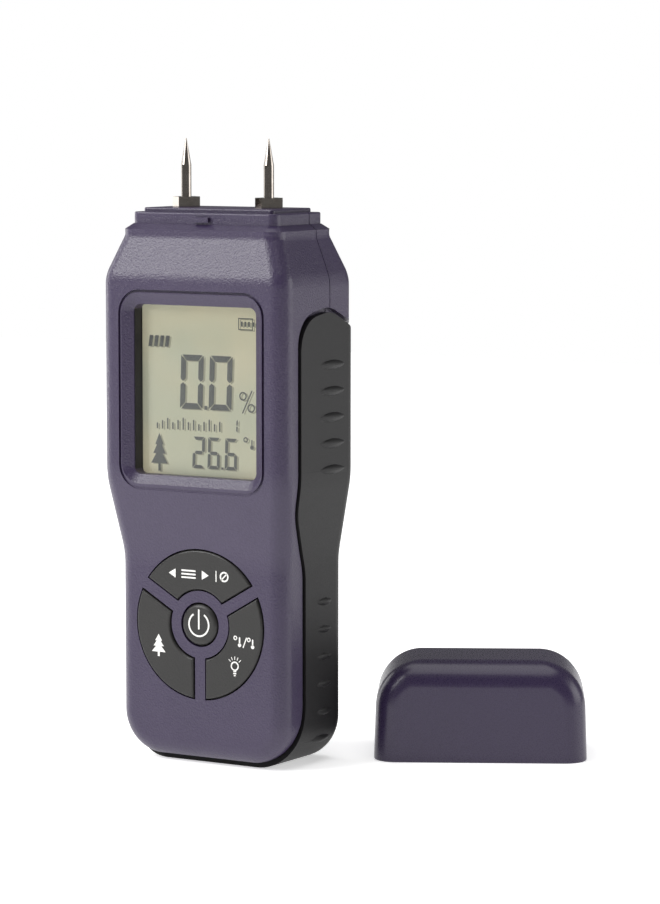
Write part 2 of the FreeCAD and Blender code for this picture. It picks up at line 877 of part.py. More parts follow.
# Rubber band over both sides and the foot, with its ribs.
band = band_outer.cut(band_inner).common(band_prism(0.0))
ribs = []
for side in (-1, 1):
    for step in range(int(size("head_ribs"))):
        z = size("head_top") - size("arch_drop") - size("head_rib_drop") - step * size("head_rib_pitch")
        x = side * (size("head_wide") / 2 + size("head_rib_out") - size("head_rib_thick") / 2)
        y = seam + size("head_rib_back")
        ribs.append(spindle(x, y, z, size("head_rib_long"), size("head_rib_thick")))
    for step in range(int(size("grip_ribs"))):
        z = size("grip_tall") - size("grip_rib_drop") - step * size("grip_rib_pitch")
        x = side * (grip_edge(z) + size("grip_rib_out") - size("grip_rib_thick") / 2)
        y = seam + size("grip_rib_back")
        ribs.append(spindle(x, y, z, size("grip_rib_long"), size("grip_rib_thick")))
band = band.fuse([rib.cut(band_inner) for rib in ribs])
piece("side_band", mould("SideBand", band))

# Electrode block, its brass sockets and the screw-in pins.
block_plate = Part.Face(
    footprint(size("plate_wide"), size("plate_deep"), size("plate_round"), size("lip_low"))
).extrude(Vector(0, 0, size("plate_top") - size("lip_low")))
plate_rim = [e for e in block_plate.Edges if abs(e.BoundBox.ZMin - size("plate_top")) < 1e-6]
block_plate = block_plate.makeFillet(size("plate_edge"), plate_rim)
block_lip = Part.Face(
    footprint(
        size("plate_wide") + 2 * size("plate_lip"),
        size("plate_deep") + 2 * size("plate_lip"),
        size("plate_round"),
        size("lip_low"),
    )
).extrude(Vector(0, 0, chamber_foot - size("lip_low")))
plate = mould("BlockPlate", block_plate.fuse(block_lip).removeSplitter())
socket_holes = []
for side, sign in (("left", "-"), ("right", "")):
    x = f"{sign}pin_spacing / 2"
    socket_holes.append(
        rod(f"SocketHole_{side}", "Z", "socket_wide", "lip_low - over", "plate_top + over", x=x)
    )
    socket = at(doc.addObject("PartDesign::Body", f"Socket_{side}"), x)
    boss(socket, f"SocketBar_{side}", "Z", "socket_low", "plate_top", circle("socket_wide"))
    sink(
        socket,
        f"SocketBore_{side}",
        "Z",
        "plate_top - stud_long - socket_spare",
        "plate_top",
        circle("stud_wide + 2 * stud_fit"),
    )
    piece(f"socket_{side}", socket)

    # The pin is turned from its stud to its point, and its hexagon is milled round it.
    pin = at(doc.addObject("PartDesign::Body", f"Pin_{side}"), x)
    turned = drawing(pin, f"PinBar_{side}", "Y", "0")
    outline(
        ("0", "plate_top - stud_long"),
        ("stud_wide / 2", "plate_top - stud_long"),
        ("stud_wide / 2", "plate_top"),
        ("pin_wide / 2", "plate_top"),
        ("pin_wide / 2", "hex_top + pin_straight"),
        ("pin_tip / 2", "tip_top"),
        ("0", "tip_top"),
    )(turned)
    shaft = pin.newObject("PartDesign::Revolution", f"PinBar_{side}")
    shaft.Profile = turned
    shaft.ReferenceAxis = (turned, ["V_Axis"])
    shaft.Angle = 360
    flat, corner = "hex_flats / 2", "hex_flats / sqrt(3)"
    hexagon = outline(
        (flat, f"0 - {corner} / 2"),
        (flat, f"{corner} / 2"),
        ("0", corner),
        (f"0 - {flat}", f"{corner} / 2"),
        (f"0 - {flat}", f"0 - {corner} / 2"),
        ("0", f"0 - {corner}"),
    )
    boss(pin, f"PinHex_{side}", "Z", "plate_top", "hex_top", hexagon)
    piece(f"electrode_pin_{side}", pin)
piece("electrode_block", cut("Block", plate, *socket_holes))

# Display stack, front to back.
middle = "display_high"
window = slab(
    "Window",
    "panel_wide - 2 * window_thick",
    ("window_front", "panel_front"),
    middle,
    "panel_tall - 2 * window_thick",
)
piece("display_window", window)
piece("lcd_panel", slab("Panel", "panel_wide", ("panel_front", "light_front"), middle, "panel_tall"))
light_wide, light_tall = "panel_wide - 2 * light_in", "panel_tall - 2 * light_short"
piece("backlight_panel", slab("Backlight", light_wide, ("light_front", "lamp_front"), middle, light_tall))
holder = doc.addObject("PartDesign::Body", "Holder")
boss(holder, "HolderFrame", "Y", "panel_front", "board_front", oblong("holder_wide", "holder_tall", b=middle))
sink(holder, "HolderSeat", "Y", "panel_front", "light_front", oblong("panel_wide", "panel_tall", b=middle))
sink(holder, "HolderWell", "Y", "light_front", "board_front", oblong(light_wide, light_tall, b=middle))
piece("lcd_holder", holder)
lamps = []
for index, sign in enumerate(("-", "")):
    lamps.append(
        block(
            f"Lamp_{index}",
            (f"{sign}panel_wide / 4 - lamp_wide / 2", f"{sign}panel_wide / 4 + lamp_wide / 2"),
            ("lamp_front", "board_front"),
            ("display_high - lamp_wide / 2", "display_high + lamp_wide / 2"),
        )
    )
piece("backlight_leds", group("Lamps", *lamps))

# Circuit board: wide behind the display, notched beside the screw posts, round the keypad in the grip.
board_half = [
    ("key_outer - board_foot_in", "board_low"),
    ("key_outer - board_foot_in", "board_low + board_step"),
    ("key_outer + board_rim", "board_low + board_step"),
    ("key_outer + board_rim", "board_waist_low"),
    ("board_waist_wide / 2", "board_waist_low"),
    ("board_waist_wide / 2", "board_waist_top"),
    ("holder_wide / 2", "board_waist_top"),
    ("holder_wide / 2", "board_top"),
]
board_outline = board_half + [(f"0 - ({a})", b) for a, b in reversed(board_half)]
board = doc.addObject("PartDesign::Body", "Board")
boss(board, "BoardSheet", "Y", "board_front", "board_rear", outline(*board_outline))
piece("circuit_board", board)
chip = slab("Chip", "chip_wide", ("board_rear", "board_rear + chip_thick"), middle, "chip_wide")
piece("main_chip", chip)
beside = "display_high + chip_wide * 1.5"
buzzer = at(doc.addObject("PartDesign::Body", "Buzzer"), "0 - chip_wide", "0", beside)
buzzer_back = "board_rear + buzzer_tall"
boss(buzzer, "BuzzerCan", "Y", "board_rear", buzzer_back, circle("buzzer_wide"))
sink(buzzer, "BuzzerPort", "Y", "board_rear + buzzer_tall / 2", buzzer_back, circle("buzzer_wide / 6"))
piece("buzzer", buzzer)
sensor = rod(
    "Sensor",
    "Y",
    "sensor_wide",
    "board_rear",
    "board_rear + 2 * sensor_wide",
    x="chip_wide",
    z=beside,
)
piece("temperature_sensor", sensor)

# Contact strips from the sockets down to the board.
for side, sign in (("left", "-"), ("right", "")):
    x = (f"{sign}pin_spacing / 2 - strip_wide / 2", f"{sign}pin_spacing / 2 + strip_wide / 2")
    drop_y = ("board_rear", "board_rear + strip_thick")
    drop = block(f"StripDrop_{side}", x, drop_y, ("board_top - strip_foot", "socket_low"))
    foot_z = ("socket_low - strip_thick", "socket_low")
    foot = block(f"StripTop_{side}", x, ("board_rear", "socket_wide / 2"), foot_z)
    piece(f"contact_strip_{side}", fuse(f"Strip_{side}", drop, foot))

# Keypad mat with a dome for each key, and the carbon pills inside the domes.
SEGMENT_MIDDLE = "(key_inner + key_outer) / 2"
SPOTS = {
    "power": ("0", "keypad_rise"),
    "mode": ("0", f"keypad_rise + {SEGMENT_MIDDLE}"),
    "unit": (f"{SEGMENT_MIDDLE} * cos(30)", f"keypad_rise - {SEGMENT_MIDDLE} / 2"),
    "wood": (f"0 - {SEGMENT_MIDDLE} * cos(30)", f"keypad_rise - {SEGMENT_MIDDLE} / 2"),
}
mat_parts = [rod("MatSheet", "Y", "2 * (key_outer + mat_rim)", "mat_front", "board_front", z="keypad_rise")]
wells, pills = [], []
for spot, (x, z) in SPOTS.items():
    dome_wide = "pill_wide + 2 * dome_wall"
    mat_parts.append(rod(f"Dome_{spot}", "Y", dome_wide, "dome_front", "mat_front + dome_root", x=x, z=z))
    well_wide = "pill_wide + 2 * pill_fit"
    wells.append(rod(f"Well_{spot}", "Y", well_wide, "mat_front", "board_front + over", x=x, z=z))
    pills.append(rod(f"Pill_{spot}", "Y", "pill_wide", "mat_front", "mat_front + pill_thick", x=x, z=z))
piece("keypad_mat", cut("Mat", fuse("MatBody", *mat_parts), *wells))
piece("carbon_pills", group("Pills", *pills))


def segment(inner, outer_radius, spoke):
    """Draws a ring segment that points up between two spokes, about the sketch's origin."""

    def draw(sketch):
        # A start near the keys' own sizes; the dimensions below then take it to them.
        radius_in, radius_out, half = 9.0, 19.0, 2.0
        low, high = math.radians(30), math.radians(150)
        turn_in, turn_out = math.asin(half / radius_in), math.asin(half / radius_out)
        spots = {}
        for label, radius, turn in (("in", radius_in, turn_in), ("out", radius_out, turn_out)):
            for side, angle in (("low", low + turn), ("high", high - turn)):
                spots[label, side] = Vector(radius * math.cos(angle), radius * math.sin(angle), 0)
        for radius, turn in ((radius_out, turn_out), (radius_in, turn_in)):
            ring = Part.Circle(Vector(), Vector(0, 0, 1), radius)
            sketch.addGeometry(Part.ArcOfCircle(ring, low + turn, high - turn))
        for side in ("low", "high"):
            sketch.addGeometry(Part.LineSegment(spots["in", side], spots["out", side]))
        for arc in (0, 1):
            sketch.addConstraint(Sketcher.Constraint("Coincident", arc, 3, -1, 1))
        for arc, arc_end, line, line_end in ((0, 1, 2, 2), (1, 1, 2, 1), (0, 2, 3, 2), (1, 2, 3, 1)):
            sketch.addConstraint(Sketcher.Constraint("Coincident", arc, arc_end, line, line_end))
        for line, angle in ((2, low), (3, high)):
            sketch.addConstraint(Sketcher.Constraint("Angle", line, angle))
            hold(sketch, f"spoke_{line}", f"({spoke}) / 2", "Distance", -1, 1, line, half)
        hold(sketch, "outer", outer_radius, "Radius", 0, radius_out)
        hold(sketch, "inner", inner, "Radius", 1, radius_in)

    return draw


def key(node, turn, face, flange, plunger, edge):
    """A key with a rounded cap, the flange that keeps it in its hole, and the plunger behind it."""
    body = at(doc.addObject("PartDesign::Body", node.title().replace("_", "")), "0", "0", "keypad_rise")
    cap = boss(body, body.Name + "Cap", "Y", "key_face", "flange_back", face)
    soften(body, body.Name + "Rim", cap, edge, lambda e: abs(e.BoundBox.YMax - size("key_face")) < 1e-4)
    boss(body, body.Name + "Flange", "Y", "flange_front", "flange_back", flange)
    boss(body, body.Name + "Plunger", "Y", "flange_back", "plunger_back", plunger)
    body.Placement.Rotation = Rotation(Vector(0, 1, 0), turn)
    return piece(node, body)


for node, turn in SEGMENTS.items():
    key(
        node,
        turn,
        segment("key_inner", "key_outer", "key_spoke"),
        segment("key_inner - key_flange", "key_outer + key_flange", "key_spoke - 2 * key_flange"),
        circle("plunger_wide", b=SEGMENT_MIDDLE),
        "key_edge",
    )
key(
    "key_power",
    0,
    circle("power_wide"),
    circle("power_wide + 2 * key_flange"),
    circle("plunger_wide"),
    "power_edge",
)

# Battery bay, cells, springs and contact plates.
tray = doc.addObject("PartDesign::Body", "Tray")
tray_middle = "(bay_low + bay_top) / 2"
tray_tall = "bay_top - bay_low"
boss(tray, "TrayShell", "Y", "bay_front", "bay_back", oblong("bay_wide", tray_tall, b=tray_middle))
tray_well = oblong("bay_wide - 2 * bay_wall", f"{tray_tall} - 2 * bay_wall", b=tray_middle)
sink(tray, "TrayWell", "Y", "bay_front + bay_wall", "bay_back", tray_well)
piece("battery_tray", tray)
cells, springs = [], []
for index in (-1, 0, 1):
    x = f"{index} * (cell_wide + cell_gap)"
    can_top = "cell_high - button_tall"
    can = rod(f"Can_{index + 1}", "Z", "cell_wide", "cell_low", can_top, x=x, y="cell_axis")
    button_low = f"{can_top} - button_root"
    button = rod(f"Button_{index + 1}", "Z", "cell_wide / 2", button_low, "cell_high", x=x, y="cell_axis")
    cells.append(fuse(f"Cell_{index + 1}", can, button))
    coils = []
    for turn in range(int(size("spring_turns"))):
        coil = doc.addObject("Part::Torus", f"Coil_{index + 1}_{turn}")
        coil_wide = f"spring_wide / 2 - {turn} * spring_wire / 4"
        bind(coil, Radius1=coil_wide, Radius2="spring_wire / 2 + spring_squash")
        at(coil, x, "cell_axis", f"spring_top - spring_fit - spring_wire * {turn + 0.5}")
        coils.append(coil)
    springs.append(fuse(f"Spring_{index + 1}", *coils))
piece("batteries", group("Cells", *cells))
piece("battery_springs", group("Springs", *springs))
plate_x = ("bay_wall - bay_wide / 2 + contact_fit", "bay_wide / 2 - bay_wall - contact_fit")
plate_y = ("cell_axis - cell_wide / 3", "cell_axis + cell_wide / 3")
piece(
    "battery_plates",
    group(
        "Plates",
        block("PlateLow", plate_x, plate_y, ("bay_low + bay_wall", "cell_low")),
        block("PlateHigh", plate_x, plate_y, ("spring_top", "bay_top - bay_wall")),
    ),
)
leads = []
for index, sign in enumerate(("-", "")):
    x, z = f"{sign}bay_wide / 3", "bay_top - lead_drop"
    leads.append(rod(f"Lead_{index}", "Y", "lead_wide", "board_rear", "bay_front", x=x, z=z))
piece("battery_leads", group("Leads", *leads))

# Battery door, with a rounded foot about its hinge and a finger notch at the top.
door = doc.addObject("PartDesign::Body", "Door")
door_sheet = boss(
    door,
    "DoorSheet",
    "X",
    "0 - door_wide / 2",
    "door_wide / 2",
    oblong("door_thick", "door_tall", "grip_back - door_thick / 2", "door_low + door_tall / 2"),
)


def door_foot(edge):
    """The two long edges at the foot of the door."""
    box = edge.BoundBox
    return box.ZMax < size("door_low") + 1e-4 and box.XLength > size("door_thick")


soften(door, "DoorFoot", door_sheet, "door_foot_round", door_foot)
boss(
    door,
    "DoorPivot",
    "X",
    "0 - door_wide / 2 - hinge_long",
    "door_wide / 2 + hinge_long",
    circle("hinge_wide", "hinge_plane", "hinge_axis"),
)
notch = circle("2 * notch_round", "grip_back + notch_round - notch_deep", "door_top - notch_drop")
sink(door, "DoorNotch", "X", "0 - notch_wide / 2", "notch_wide / 2", notch)
line = oblong("line_wide", "line_thick", b="door_top - line_drop")
first_line = sink(door, "DoorLine", "Y", "grip_back - line_deep", "grip_back", line)
lines = door.newObject("PartDesign::LinearPattern", "DoorLines")
lines.Originals = [first_line]
lines.Direction = (first_line.Profile[0], ["V_Axis"])
bind(lines, Length="line_pitch * (line_count - 1)", Occurrences="line_count")
door.Tip = lines
piece("battery_door", door)

# Screws that hold the covers together, with crossed slots.
case_screws = []
for row in ("high", "low"):
    for side, sign in (("left", "0 - "), ("right", "")):
        mark = f"{row}_{side}"
        x, z = f"{sign}post_{row}_x", f"post_{row}_z"
        shank = rod(f"ScrewShank_{mark}", "Y", "screw_wide", "screw_end", "screw_plane", x=x, z=z)
        head = rod(f"ScrewHead_{mark}", "Y", "screw_head", "screw_plane", "screw_top", x=x, z=z)
        slots = []
        for turn, wide, tall in ((0, "slot_wide", "slot_long"), (1, "slot_long", "slot_wide")):
            slots.append(
                block(
                    f"ScrewSlot_{mark}_{turn}",
                    (f"{x} - {wide} / 2", f"{x} + {wide} / 2"),
                    ("screw_top - slot_deep", "screw_top + over"),
                    (f"{z} - {tall} / 2", f"{z} + {tall} / 2"),
                )
            )
        case_screws.append(cut(f"Screw_{mark}", fuse(f"ScrewBar_{mark}", shank, head), *slots))
piece("case_screws", group("CaseScrews", *case_screws))

# Cap, standing mouth down beside the meter.


def cap_block(inset, extra):
    """The cap's outer block, or one set in by its wall. extra lowers its open end."""
    wide, deep, tall = size("cap_wide") / 2 - inset, size("cap_deep") / 2 - inset, size("cap_tall") - inset
    draft = size("cap_draft")
    top, lid = size("cap_top_round") - inset, size("cap_lid_round") - inset
    front = [(wide, -extra, 0), (wide - draft, tall, top), (draft - wide, tall, top), (-wide, -extra, 0)]
    side = [(deep, -extra, 0), (deep - draft, tall, lid), (draft - deep, tall, lid), (-deep, -extra, 0)]
    body = front_prism(front, size("cap_deep")).common(side_prism(side, size("cap_wide")))
    seams = []
    for edge in body.Edges:
        ends = [v.Point for v in edge.Vertexes]
        if abs(ends[0].z - ends[-1].z) > 1e-6:
            seams.append(edge)
    return body.makeFillet(size("cap_edge_round") - inset, seams)


cap = cap_block(0.0, 0.0)
cap_hollow = cap_block(size("cap_wall"), size("over"))
rib_inner = Part.Face(
    footprint(
        size("collar_wide") + 2 * size("cap_fit"),
        size("collar_deep") + 2 * size("cap_fit"),
        size("cap_rib_round"),
        -size("over"),
    )
).extrude(Vector(0, 0, size("cap_tall")))
rib = size("cap_rib")
fins = []
for side in (-1, 1):
    fin_foot = Vector(side * size("cap_rib_across") - rib / 2, -size("cap_deep") / 2, size("cap_rib_low"))
    fins.append(Part.makeBox(rib, size("cap_deep"), size("cap_rib_tall"), fin_foot))
cross_foot = Vector(-size("cap_wide") / 2, -rib / 2, size("cap_rib_low"))
fins.append(Part.makeBox(size("cap_wide"), rib, size("cap_rib_tall"), cross_foot))
keep = fins[0].fuse(fins[1:]).cut(rib_inner)
cap = cap.cut(cap_hollow.cut(keep))
cap_piece = piece("cap_shell", mould("Cap", cap.removeSplitter()))
cap_piece.Placement = Placement(
    Vector(size("cap_x"), size("cap_y"), 0), Rotation(Vector(0, 0, 1), size("cap_turn"))
)

doc.recompute()

faults = [thing.Label for thing in doc.Objects if {"Invalid", "Error"} & set(thing.State)]
for node, thing in pieces.items():
    if thing.Shape.isNull() or not thing.Shape.isValid() or not thing.Shape.Solids:
        faults.append(node)
if faults:
    raise RuntimeError("these objects failed: " + ", ".join(faults))

os.makedirs("parts", exist_ok=True)
for node, thing in pieces.items():
    thing.Shape.exportStep(f"parts/{node}.step")
    print(node, len(thing.Shape.Solids), round(thing.Shape.Volume, 1))
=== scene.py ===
"""Looks of a two-pin wood moisture meter and its cap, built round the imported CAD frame.

All sizes are in metres unless a name ends in _MM or the value is wrapped in mm(). +Z is up the case,
-Y is out of the display, and the origin is the middle of the foot.
"""

import json
import logging
import math
from dataclasses import dataclass, field
from enum import Enum
from typing import Any, Iterable

import bmesh
import bpy
from mathutils import Matrix, Vector

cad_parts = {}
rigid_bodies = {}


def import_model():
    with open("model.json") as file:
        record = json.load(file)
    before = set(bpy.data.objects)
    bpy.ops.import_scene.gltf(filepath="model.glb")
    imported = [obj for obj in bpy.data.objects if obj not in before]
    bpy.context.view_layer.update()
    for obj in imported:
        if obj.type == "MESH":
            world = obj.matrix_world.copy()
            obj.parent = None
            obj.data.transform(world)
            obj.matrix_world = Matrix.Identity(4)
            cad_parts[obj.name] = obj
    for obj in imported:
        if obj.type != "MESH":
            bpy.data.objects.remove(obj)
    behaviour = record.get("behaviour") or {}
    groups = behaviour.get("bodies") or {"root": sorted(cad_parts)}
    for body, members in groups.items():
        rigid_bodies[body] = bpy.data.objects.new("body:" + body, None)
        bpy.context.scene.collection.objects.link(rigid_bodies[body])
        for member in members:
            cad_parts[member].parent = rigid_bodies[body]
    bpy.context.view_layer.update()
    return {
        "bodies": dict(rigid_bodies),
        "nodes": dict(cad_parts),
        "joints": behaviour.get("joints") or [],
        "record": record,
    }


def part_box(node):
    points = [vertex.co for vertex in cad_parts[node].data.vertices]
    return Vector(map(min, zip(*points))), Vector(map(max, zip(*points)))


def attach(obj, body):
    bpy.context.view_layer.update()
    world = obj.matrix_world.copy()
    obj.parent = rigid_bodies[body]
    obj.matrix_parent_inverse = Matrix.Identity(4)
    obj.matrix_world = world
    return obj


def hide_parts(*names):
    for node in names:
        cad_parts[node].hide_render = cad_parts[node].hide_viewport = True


logging.basicConfig(level=logging.INFO, format="%(levelname)s %(message)s")
log = logging.getLogger("moisture_meter")

Point = tuple[float, float]
Outline = list[Point]


def mm(value: float) -> float:
    """Millimetres to metres."""
    return value * 0.001


def srgb(colour: str) -> tuple[float, float, float, float]:
    """Turns an sRGB hex colour into the linear colour that a shader takes.

    Args:
        colour: A colour such as "#453d5a".

    Returns:
        Linear red, green, blue and an alpha of 1.
    """
    parts = [int(colour[i : i + 2], 16) / 255 for i in (1, 3, 5)]
    red, green, blue = [c / 12.92 if c <= 0.04045 else ((c + 0.055) / 1.055) ** 2.4 for c in parts]
    return (red, green, blue, 1.0)


# Node trees.


def add(tree: bpy.types.NodeTree, kind: str, links: dict[str, Any] | None = None, **settings: Any) -> Any:
    """Adds one shader node.

    Args:
        tree: The node tree.
        kind: The node's type, without the "ShaderNode" in front.
        links: Input names, each with a value or with the output socket that feeds it.
        settings: Properties of the node itself.

    Returns:
        The node.
    """
    node = tree.nodes.new("ShaderNode" + kind)
    for name, value in settings.items():
        setattr(node, name, value)
    for name, value in (links or {}).items():
        socket = node.inputs[int(name)] if name.isdigit() else node.inputs[name]
        if isinstance(value, bpy.types.NodeSocket):
            tree.links.new(value, socket)
        else:
            socket.default_value = value
    return node


def blank(name: str) -> tuple[bpy.types.Material, bpy.types.NodeTree, Any]:
    """A new material with only its output node.

    Args:
        name: The material's name.

    Returns:
        The material, its tree and the output node.
    """
    material = bpy.data.materials.new(name)
    material.use_nodes = True
    tree = material.node_tree
    tree.nodes.clear()
    return material, tree, add(tree, "OutputMaterial")


class Finish:
    """What every finish has: a material that is made once."""

    name: str

    def build(self) -> bpy.types.Material:
        """Makes the material."""
        raise NotImplementedError

    def material(self) -> bpy.types.Material:
        """The finish's material, made at its first use."""
        return bpy.data.materials.get(self.name) or self.build()


@dataclass(frozen=True)
class MouldedPolymer(Finish):
    """A moulded plastic or rubber with the grain of its mould.

    The grain breaks the gloss into a soft sheen. A slow change of tone stands for flow in the mould and for
    handling.
    """

    name: str
    colour: str
    tint: str
    roughness: float
    grain_mm: float
    grain_depth_mm: float
    ior: float = 1.5
    speckle: float = 0.3
    sheen: float = 0.0
    coat: float = 0.0
    drift_mm: float = 18.0

    def build(self) -> bpy.types.Material:
        """Makes the material."""
        material, tree, out = blank(self.name)
        place = add(tree, "TexCoord").outputs["Object"]
        grain = add(
            tree,
            "TexNoise",
            {"Vector": place, "Scale": 1 / mm(self.grain_mm), "Detail": 2.0, "Roughness": 0.55},
        ).outputs["Fac"]
        drift = add(
            tree, "TexNoise", {"Vector": place, "Scale": 1 / mm(self.drift_mm), "Detail": 3.0}
        ).outputs["Fac"]
        sharp = add(
            tree,
            "MapRange",
            {"Value": grain, "From Min": 0.38, "From Max": 0.62, "To Min": 0.0, "To Max": self.speckle},
        ).outputs["Result"]
        slow = add(
            tree,
            "MapRange",
            {"Value": drift, "From Min": 0.3, "From Max": 0.7, "To Min": 0.0, "To Max": 0.25},
        ).outputs["Result"]
        share = add(tree, "Math", {"0": sharp, "1": slow}, operation="ADD").outputs[0]
        colour = add(
            tree,
            "MixRGB",
            {"Fac": share, "Color1": srgb(self.colour), "Color2": srgb(self.tint)},
        ).outputs["Color"]
        gloss = add(
            tree,
            "MapRange",
            {
                "Value": grain,
                "From Min": 0.3,
                "From Max": 0.7,
                "To Min": self.roughness - 0.05,
                "To Max": self.roughness + 0.07,
            },
        ).outputs["Result"]
        relief = add(
            tree,
            "Bump",
            {"Height": grain, "Strength": 1.0, "Distance": mm(self.grain_depth_mm)},
        ).outputs["Normal"]
        shader = add(
            tree,
            "BsdfPrincipled",
            {
                "Base Color": colour,
                "Roughness": gloss,
                "Normal": relief,
                "IOR": self.ior,
                "Sheen Weight": self.sheen,
                "Coat Weight": self.coat,
            },
        )
        tree.links.new(shader.outputs["BSDF"], out.inputs["Surface"])
        return material


@dataclass(frozen=True)
class TurnedMetal(Finish):
    """A metal with fine turning lines round or along it, polished or plated over."""

    name: str
    colour: str
    roughness: float
    line_mm: float = 0.12
    line_depth_mm: float = 0.002
    # Colour mixed in patches: tarnish on most metals, painted shade on the pins.
    stain_and_shade: str = "#8f8a80"

    def build(self) -> bpy.types.Material:
        """Makes the material."""
        material, tree, out = blank(self.name)
        place = add(tree, "TexCoord").outputs["Object"]
        lines = add(
            tree,
            "TexWave",
            {"Vector": place, "Scale": 1 / mm(self.line_mm) / 20, "Distortion": 0.6, "Detail": 2.0},
            wave_type="BANDS",
            bands_direction="Z",
        ).outputs["Fac"]
        cloud = add(tree, "TexNoise", {"Vector": place, "Scale": 1 / mm(2.5), "Detail": 4.0}).outputs["Fac"]
        share = add(
            tree,
            "MapRange",
            {"Value": cloud, "From Min": 0.45, "From Max": 0.75, "To Min": 0.0, "To Max": 0.35},
        ).outputs["Result"]
        colour = add(
            tree, "MixRGB", {"Fac": share, "Color1": srgb(self.colour), "Color2": srgb(self.stain_and_shade)}
        ).outputs["Color"]
        gloss = add(
            tree,
            "MapRange",
            {"Value": cloud, "To Min": self.roughness * 0.7, "To Max": self.roughness * 1.5},
        ).outputs["Result"]
        relief = add(
            tree, "Bump", {"Height": lines, "Strength": 0.6, "Distance": mm(self.line_depth_mm)}
        ).outputs["Normal"]
        shader = add(
            tree,
            "BsdfPrincipled",
            {"Base Color": colour, "Metallic": 1.0, "Roughness": gloss, "Normal": relief},
        )
        tree.links.new(shader.outputs["BSDF"], out.inputs["Surface"])
        return material


@dataclass(frozen=True)
class CrystalReflector(Finish):
    """The grey-green reflector of a liquid crystal panel, seen through its polariser.

    The polariser is satin, and the tone drifts at random between warm and cool.
    """

    name: str = "lcd_polariser_satin"
    warm: str = "#cfc9b7"
    cool: str = "#c3c3b5"
    grain_mm: float = 0.35
    drift_mm: float = 16.0
    roughness: float = 0.4
    ior: float = 1.5
    # Emission in the reflector's own colour: painted light that brightens the panel where the bezel and window
    # shade it.
    painted_glow: float = 0.33

    def build(self) -> bpy.types.Material:
        """Makes the material."""
        material, tree, out = blank(self.name)
        place = add(tree, "TexCoord").outputs["Object"]
        drift = add(
            tree, "TexNoise", {"Vector": place, "Scale": 1 / mm(self.drift_mm), "Detail": 1.0}
        ).outputs["Fac"]
        grain = add(
            tree, "TexNoise", {"Vector": place, "Scale": 1 / mm(self.grain_mm), "Detail": 1.0}
        ).outputs["Fac"]
        share = add(
            tree, "MapRange", {"Value": drift, "From Min": 0.35, "From Max": 0.65}
        ).outputs["Result"]
        colour = add(
            tree, "MixRGB", {"Fac": share, "Color1": srgb(self.warm), "Color2": srgb(self.cool)}
        ).outputs["Color"]
        relief = add(tree, "Bump", {"Height": grain, "Strength": 0.5, "Distance": mm(0.002)}).outputs["Normal"]
        shader = add(
            tree,
            "BsdfPrincipled",
            {
                "Base Color": colour,
                "Roughness": self.roughness,
                "Normal": relief,
                "IOR": self.ior,
                # Painted glow: the panel emits light though it is no lamp.
                "Emission Color": colour,
                "Emission Strength": self.painted_glow,
            },
        )
        tree.links.new(shader.outputs["BSDF"], out.inputs["Surface"])
        return material


@dataclass(frozen=True)
class ClearSheet(Finish):
    """A clear acrylic sheet: a faint reflection that grows towards grazing, over what lies behind it."""

    name: str = "acrylic_window_low_glare"
    ior: float = 1.38

    def build(self) -> bpy.types.Material:
        """Makes the material."""
        material, tree, out = blank(self.name)
        place = add(tree, "TexCoord").outputs["Object"]
        haze = add(tree, "TexNoise", {"Vector": place, "Scale": 1 / mm(6.0), "Detail": 3.0}).outputs["Fac"]
        gloss = add(tree, "MapRange", {"Value": haze, "To Min": 0.02, "To Max": 0.07}).outputs["Result"]
        clear = add(tree, "BsdfTransparent", {"Color": srgb("#fbfcf9")})
        shine = add(tree, "BsdfGlossy", {"Color": srgb("#ffffff"), "Roughness": gloss})
        fresnel = add(tree, "Fresnel", {"IOR": self.ior})
        mix = add(
            tree,
            "MixShader",
            {"Fac": fresnel.outputs["Fac"], "1": clear.outputs["BSDF"], "2": shine.outputs["BSDF"]},
        )
        tree.links.new(mix.outputs["Shader"], out.inputs["Surface"])
        return material


@dataclass(frozen=True)
class Ink(Finish):
    """Printed ink or a switched display segment: thin, even, with slightly uneven cover."""

    name: str
    colour: str
    thin: str
    roughness: float = 0.45
    patch_mm: float = 0.3

    def build(self) -> bpy.types.Material:
        """Makes the material."""
        material, tree, out = blank(self.name)
        place = add(tree, "TexCoord").outputs["Object"]
        cover = add(
            tree, "TexNoise", {"Vector": place, "Scale": 1 / mm(self.patch_mm), "Detail": 2.0}
        ).outputs["Fac"]
        share = add(
            tree,
            "MapRange",
            {"Value": cover, "From Min": 0.5, "From Max": 0.75, "To Min": 0.0, "To Max": 0.6},
        ).outputs["Result"]
        colour = add(
            tree, "MixRGB", {"Fac": share, "Color1": srgb(self.colour), "Color2": srgb(self.thin)}
        ).outputs["Color"]
        shader = add(tree, "BsdfPrincipled", {"Base Color": colour, "Roughness": self.roughness})
        tree.links.new(shader.outputs["BSDF"], out.inputs["Surface"])
        return material


@dataclass(frozen=True)
class StudioPaper(Finish):
    """A pale paper floor with a faint tooth. Away from the meter a background light washes it out to white."""

    name: str = "paper_sweep_matt"
    colour: str = "#fbfbfb"
    wash_near: float = 0.5
    wash_start: float = 0.45
    wash_full: float = 1.0

    def build(self) -> bpy.types.Material:
        """Makes the material."""
        material, tree, out = blank(self.name)
        place = add(tree, "TexCoord").outputs["Object"]
        tooth = add(tree, "TexNoise", {"Vector": place, "Scale": 1 / mm(3.0), "Detail": 2.0}).outputs["Fac"]
        relief = add(tree, "Bump", {"Height": tooth, "Strength": 0.1, "Distance": mm(0.02)}).outputs["Normal"]
        reach = add(tree, "VectorMath", {"0": place}, operation="LENGTH").outputs["Value"]
        wash = add(
            tree,
            "MapRange",
            {
                "Value": reach,
                "From Min": self.wash_start,
                "From Max": self.wash_full,
                "To Min": self.wash_near,
            },
        ).outputs["Result"]
        shader = add(
            tree,
            "BsdfPrincipled",
            {
                "Base Color": srgb(self.colour),
                "Roughness": 0.9,
                "Normal": relief,
                "Emission Color": srgb("#ffffff"),
                "Emission Strength": wash,
            },
        )
        tree.links.new(shader.outputs["BSDF"], out.inputs["Surface"])
        return material


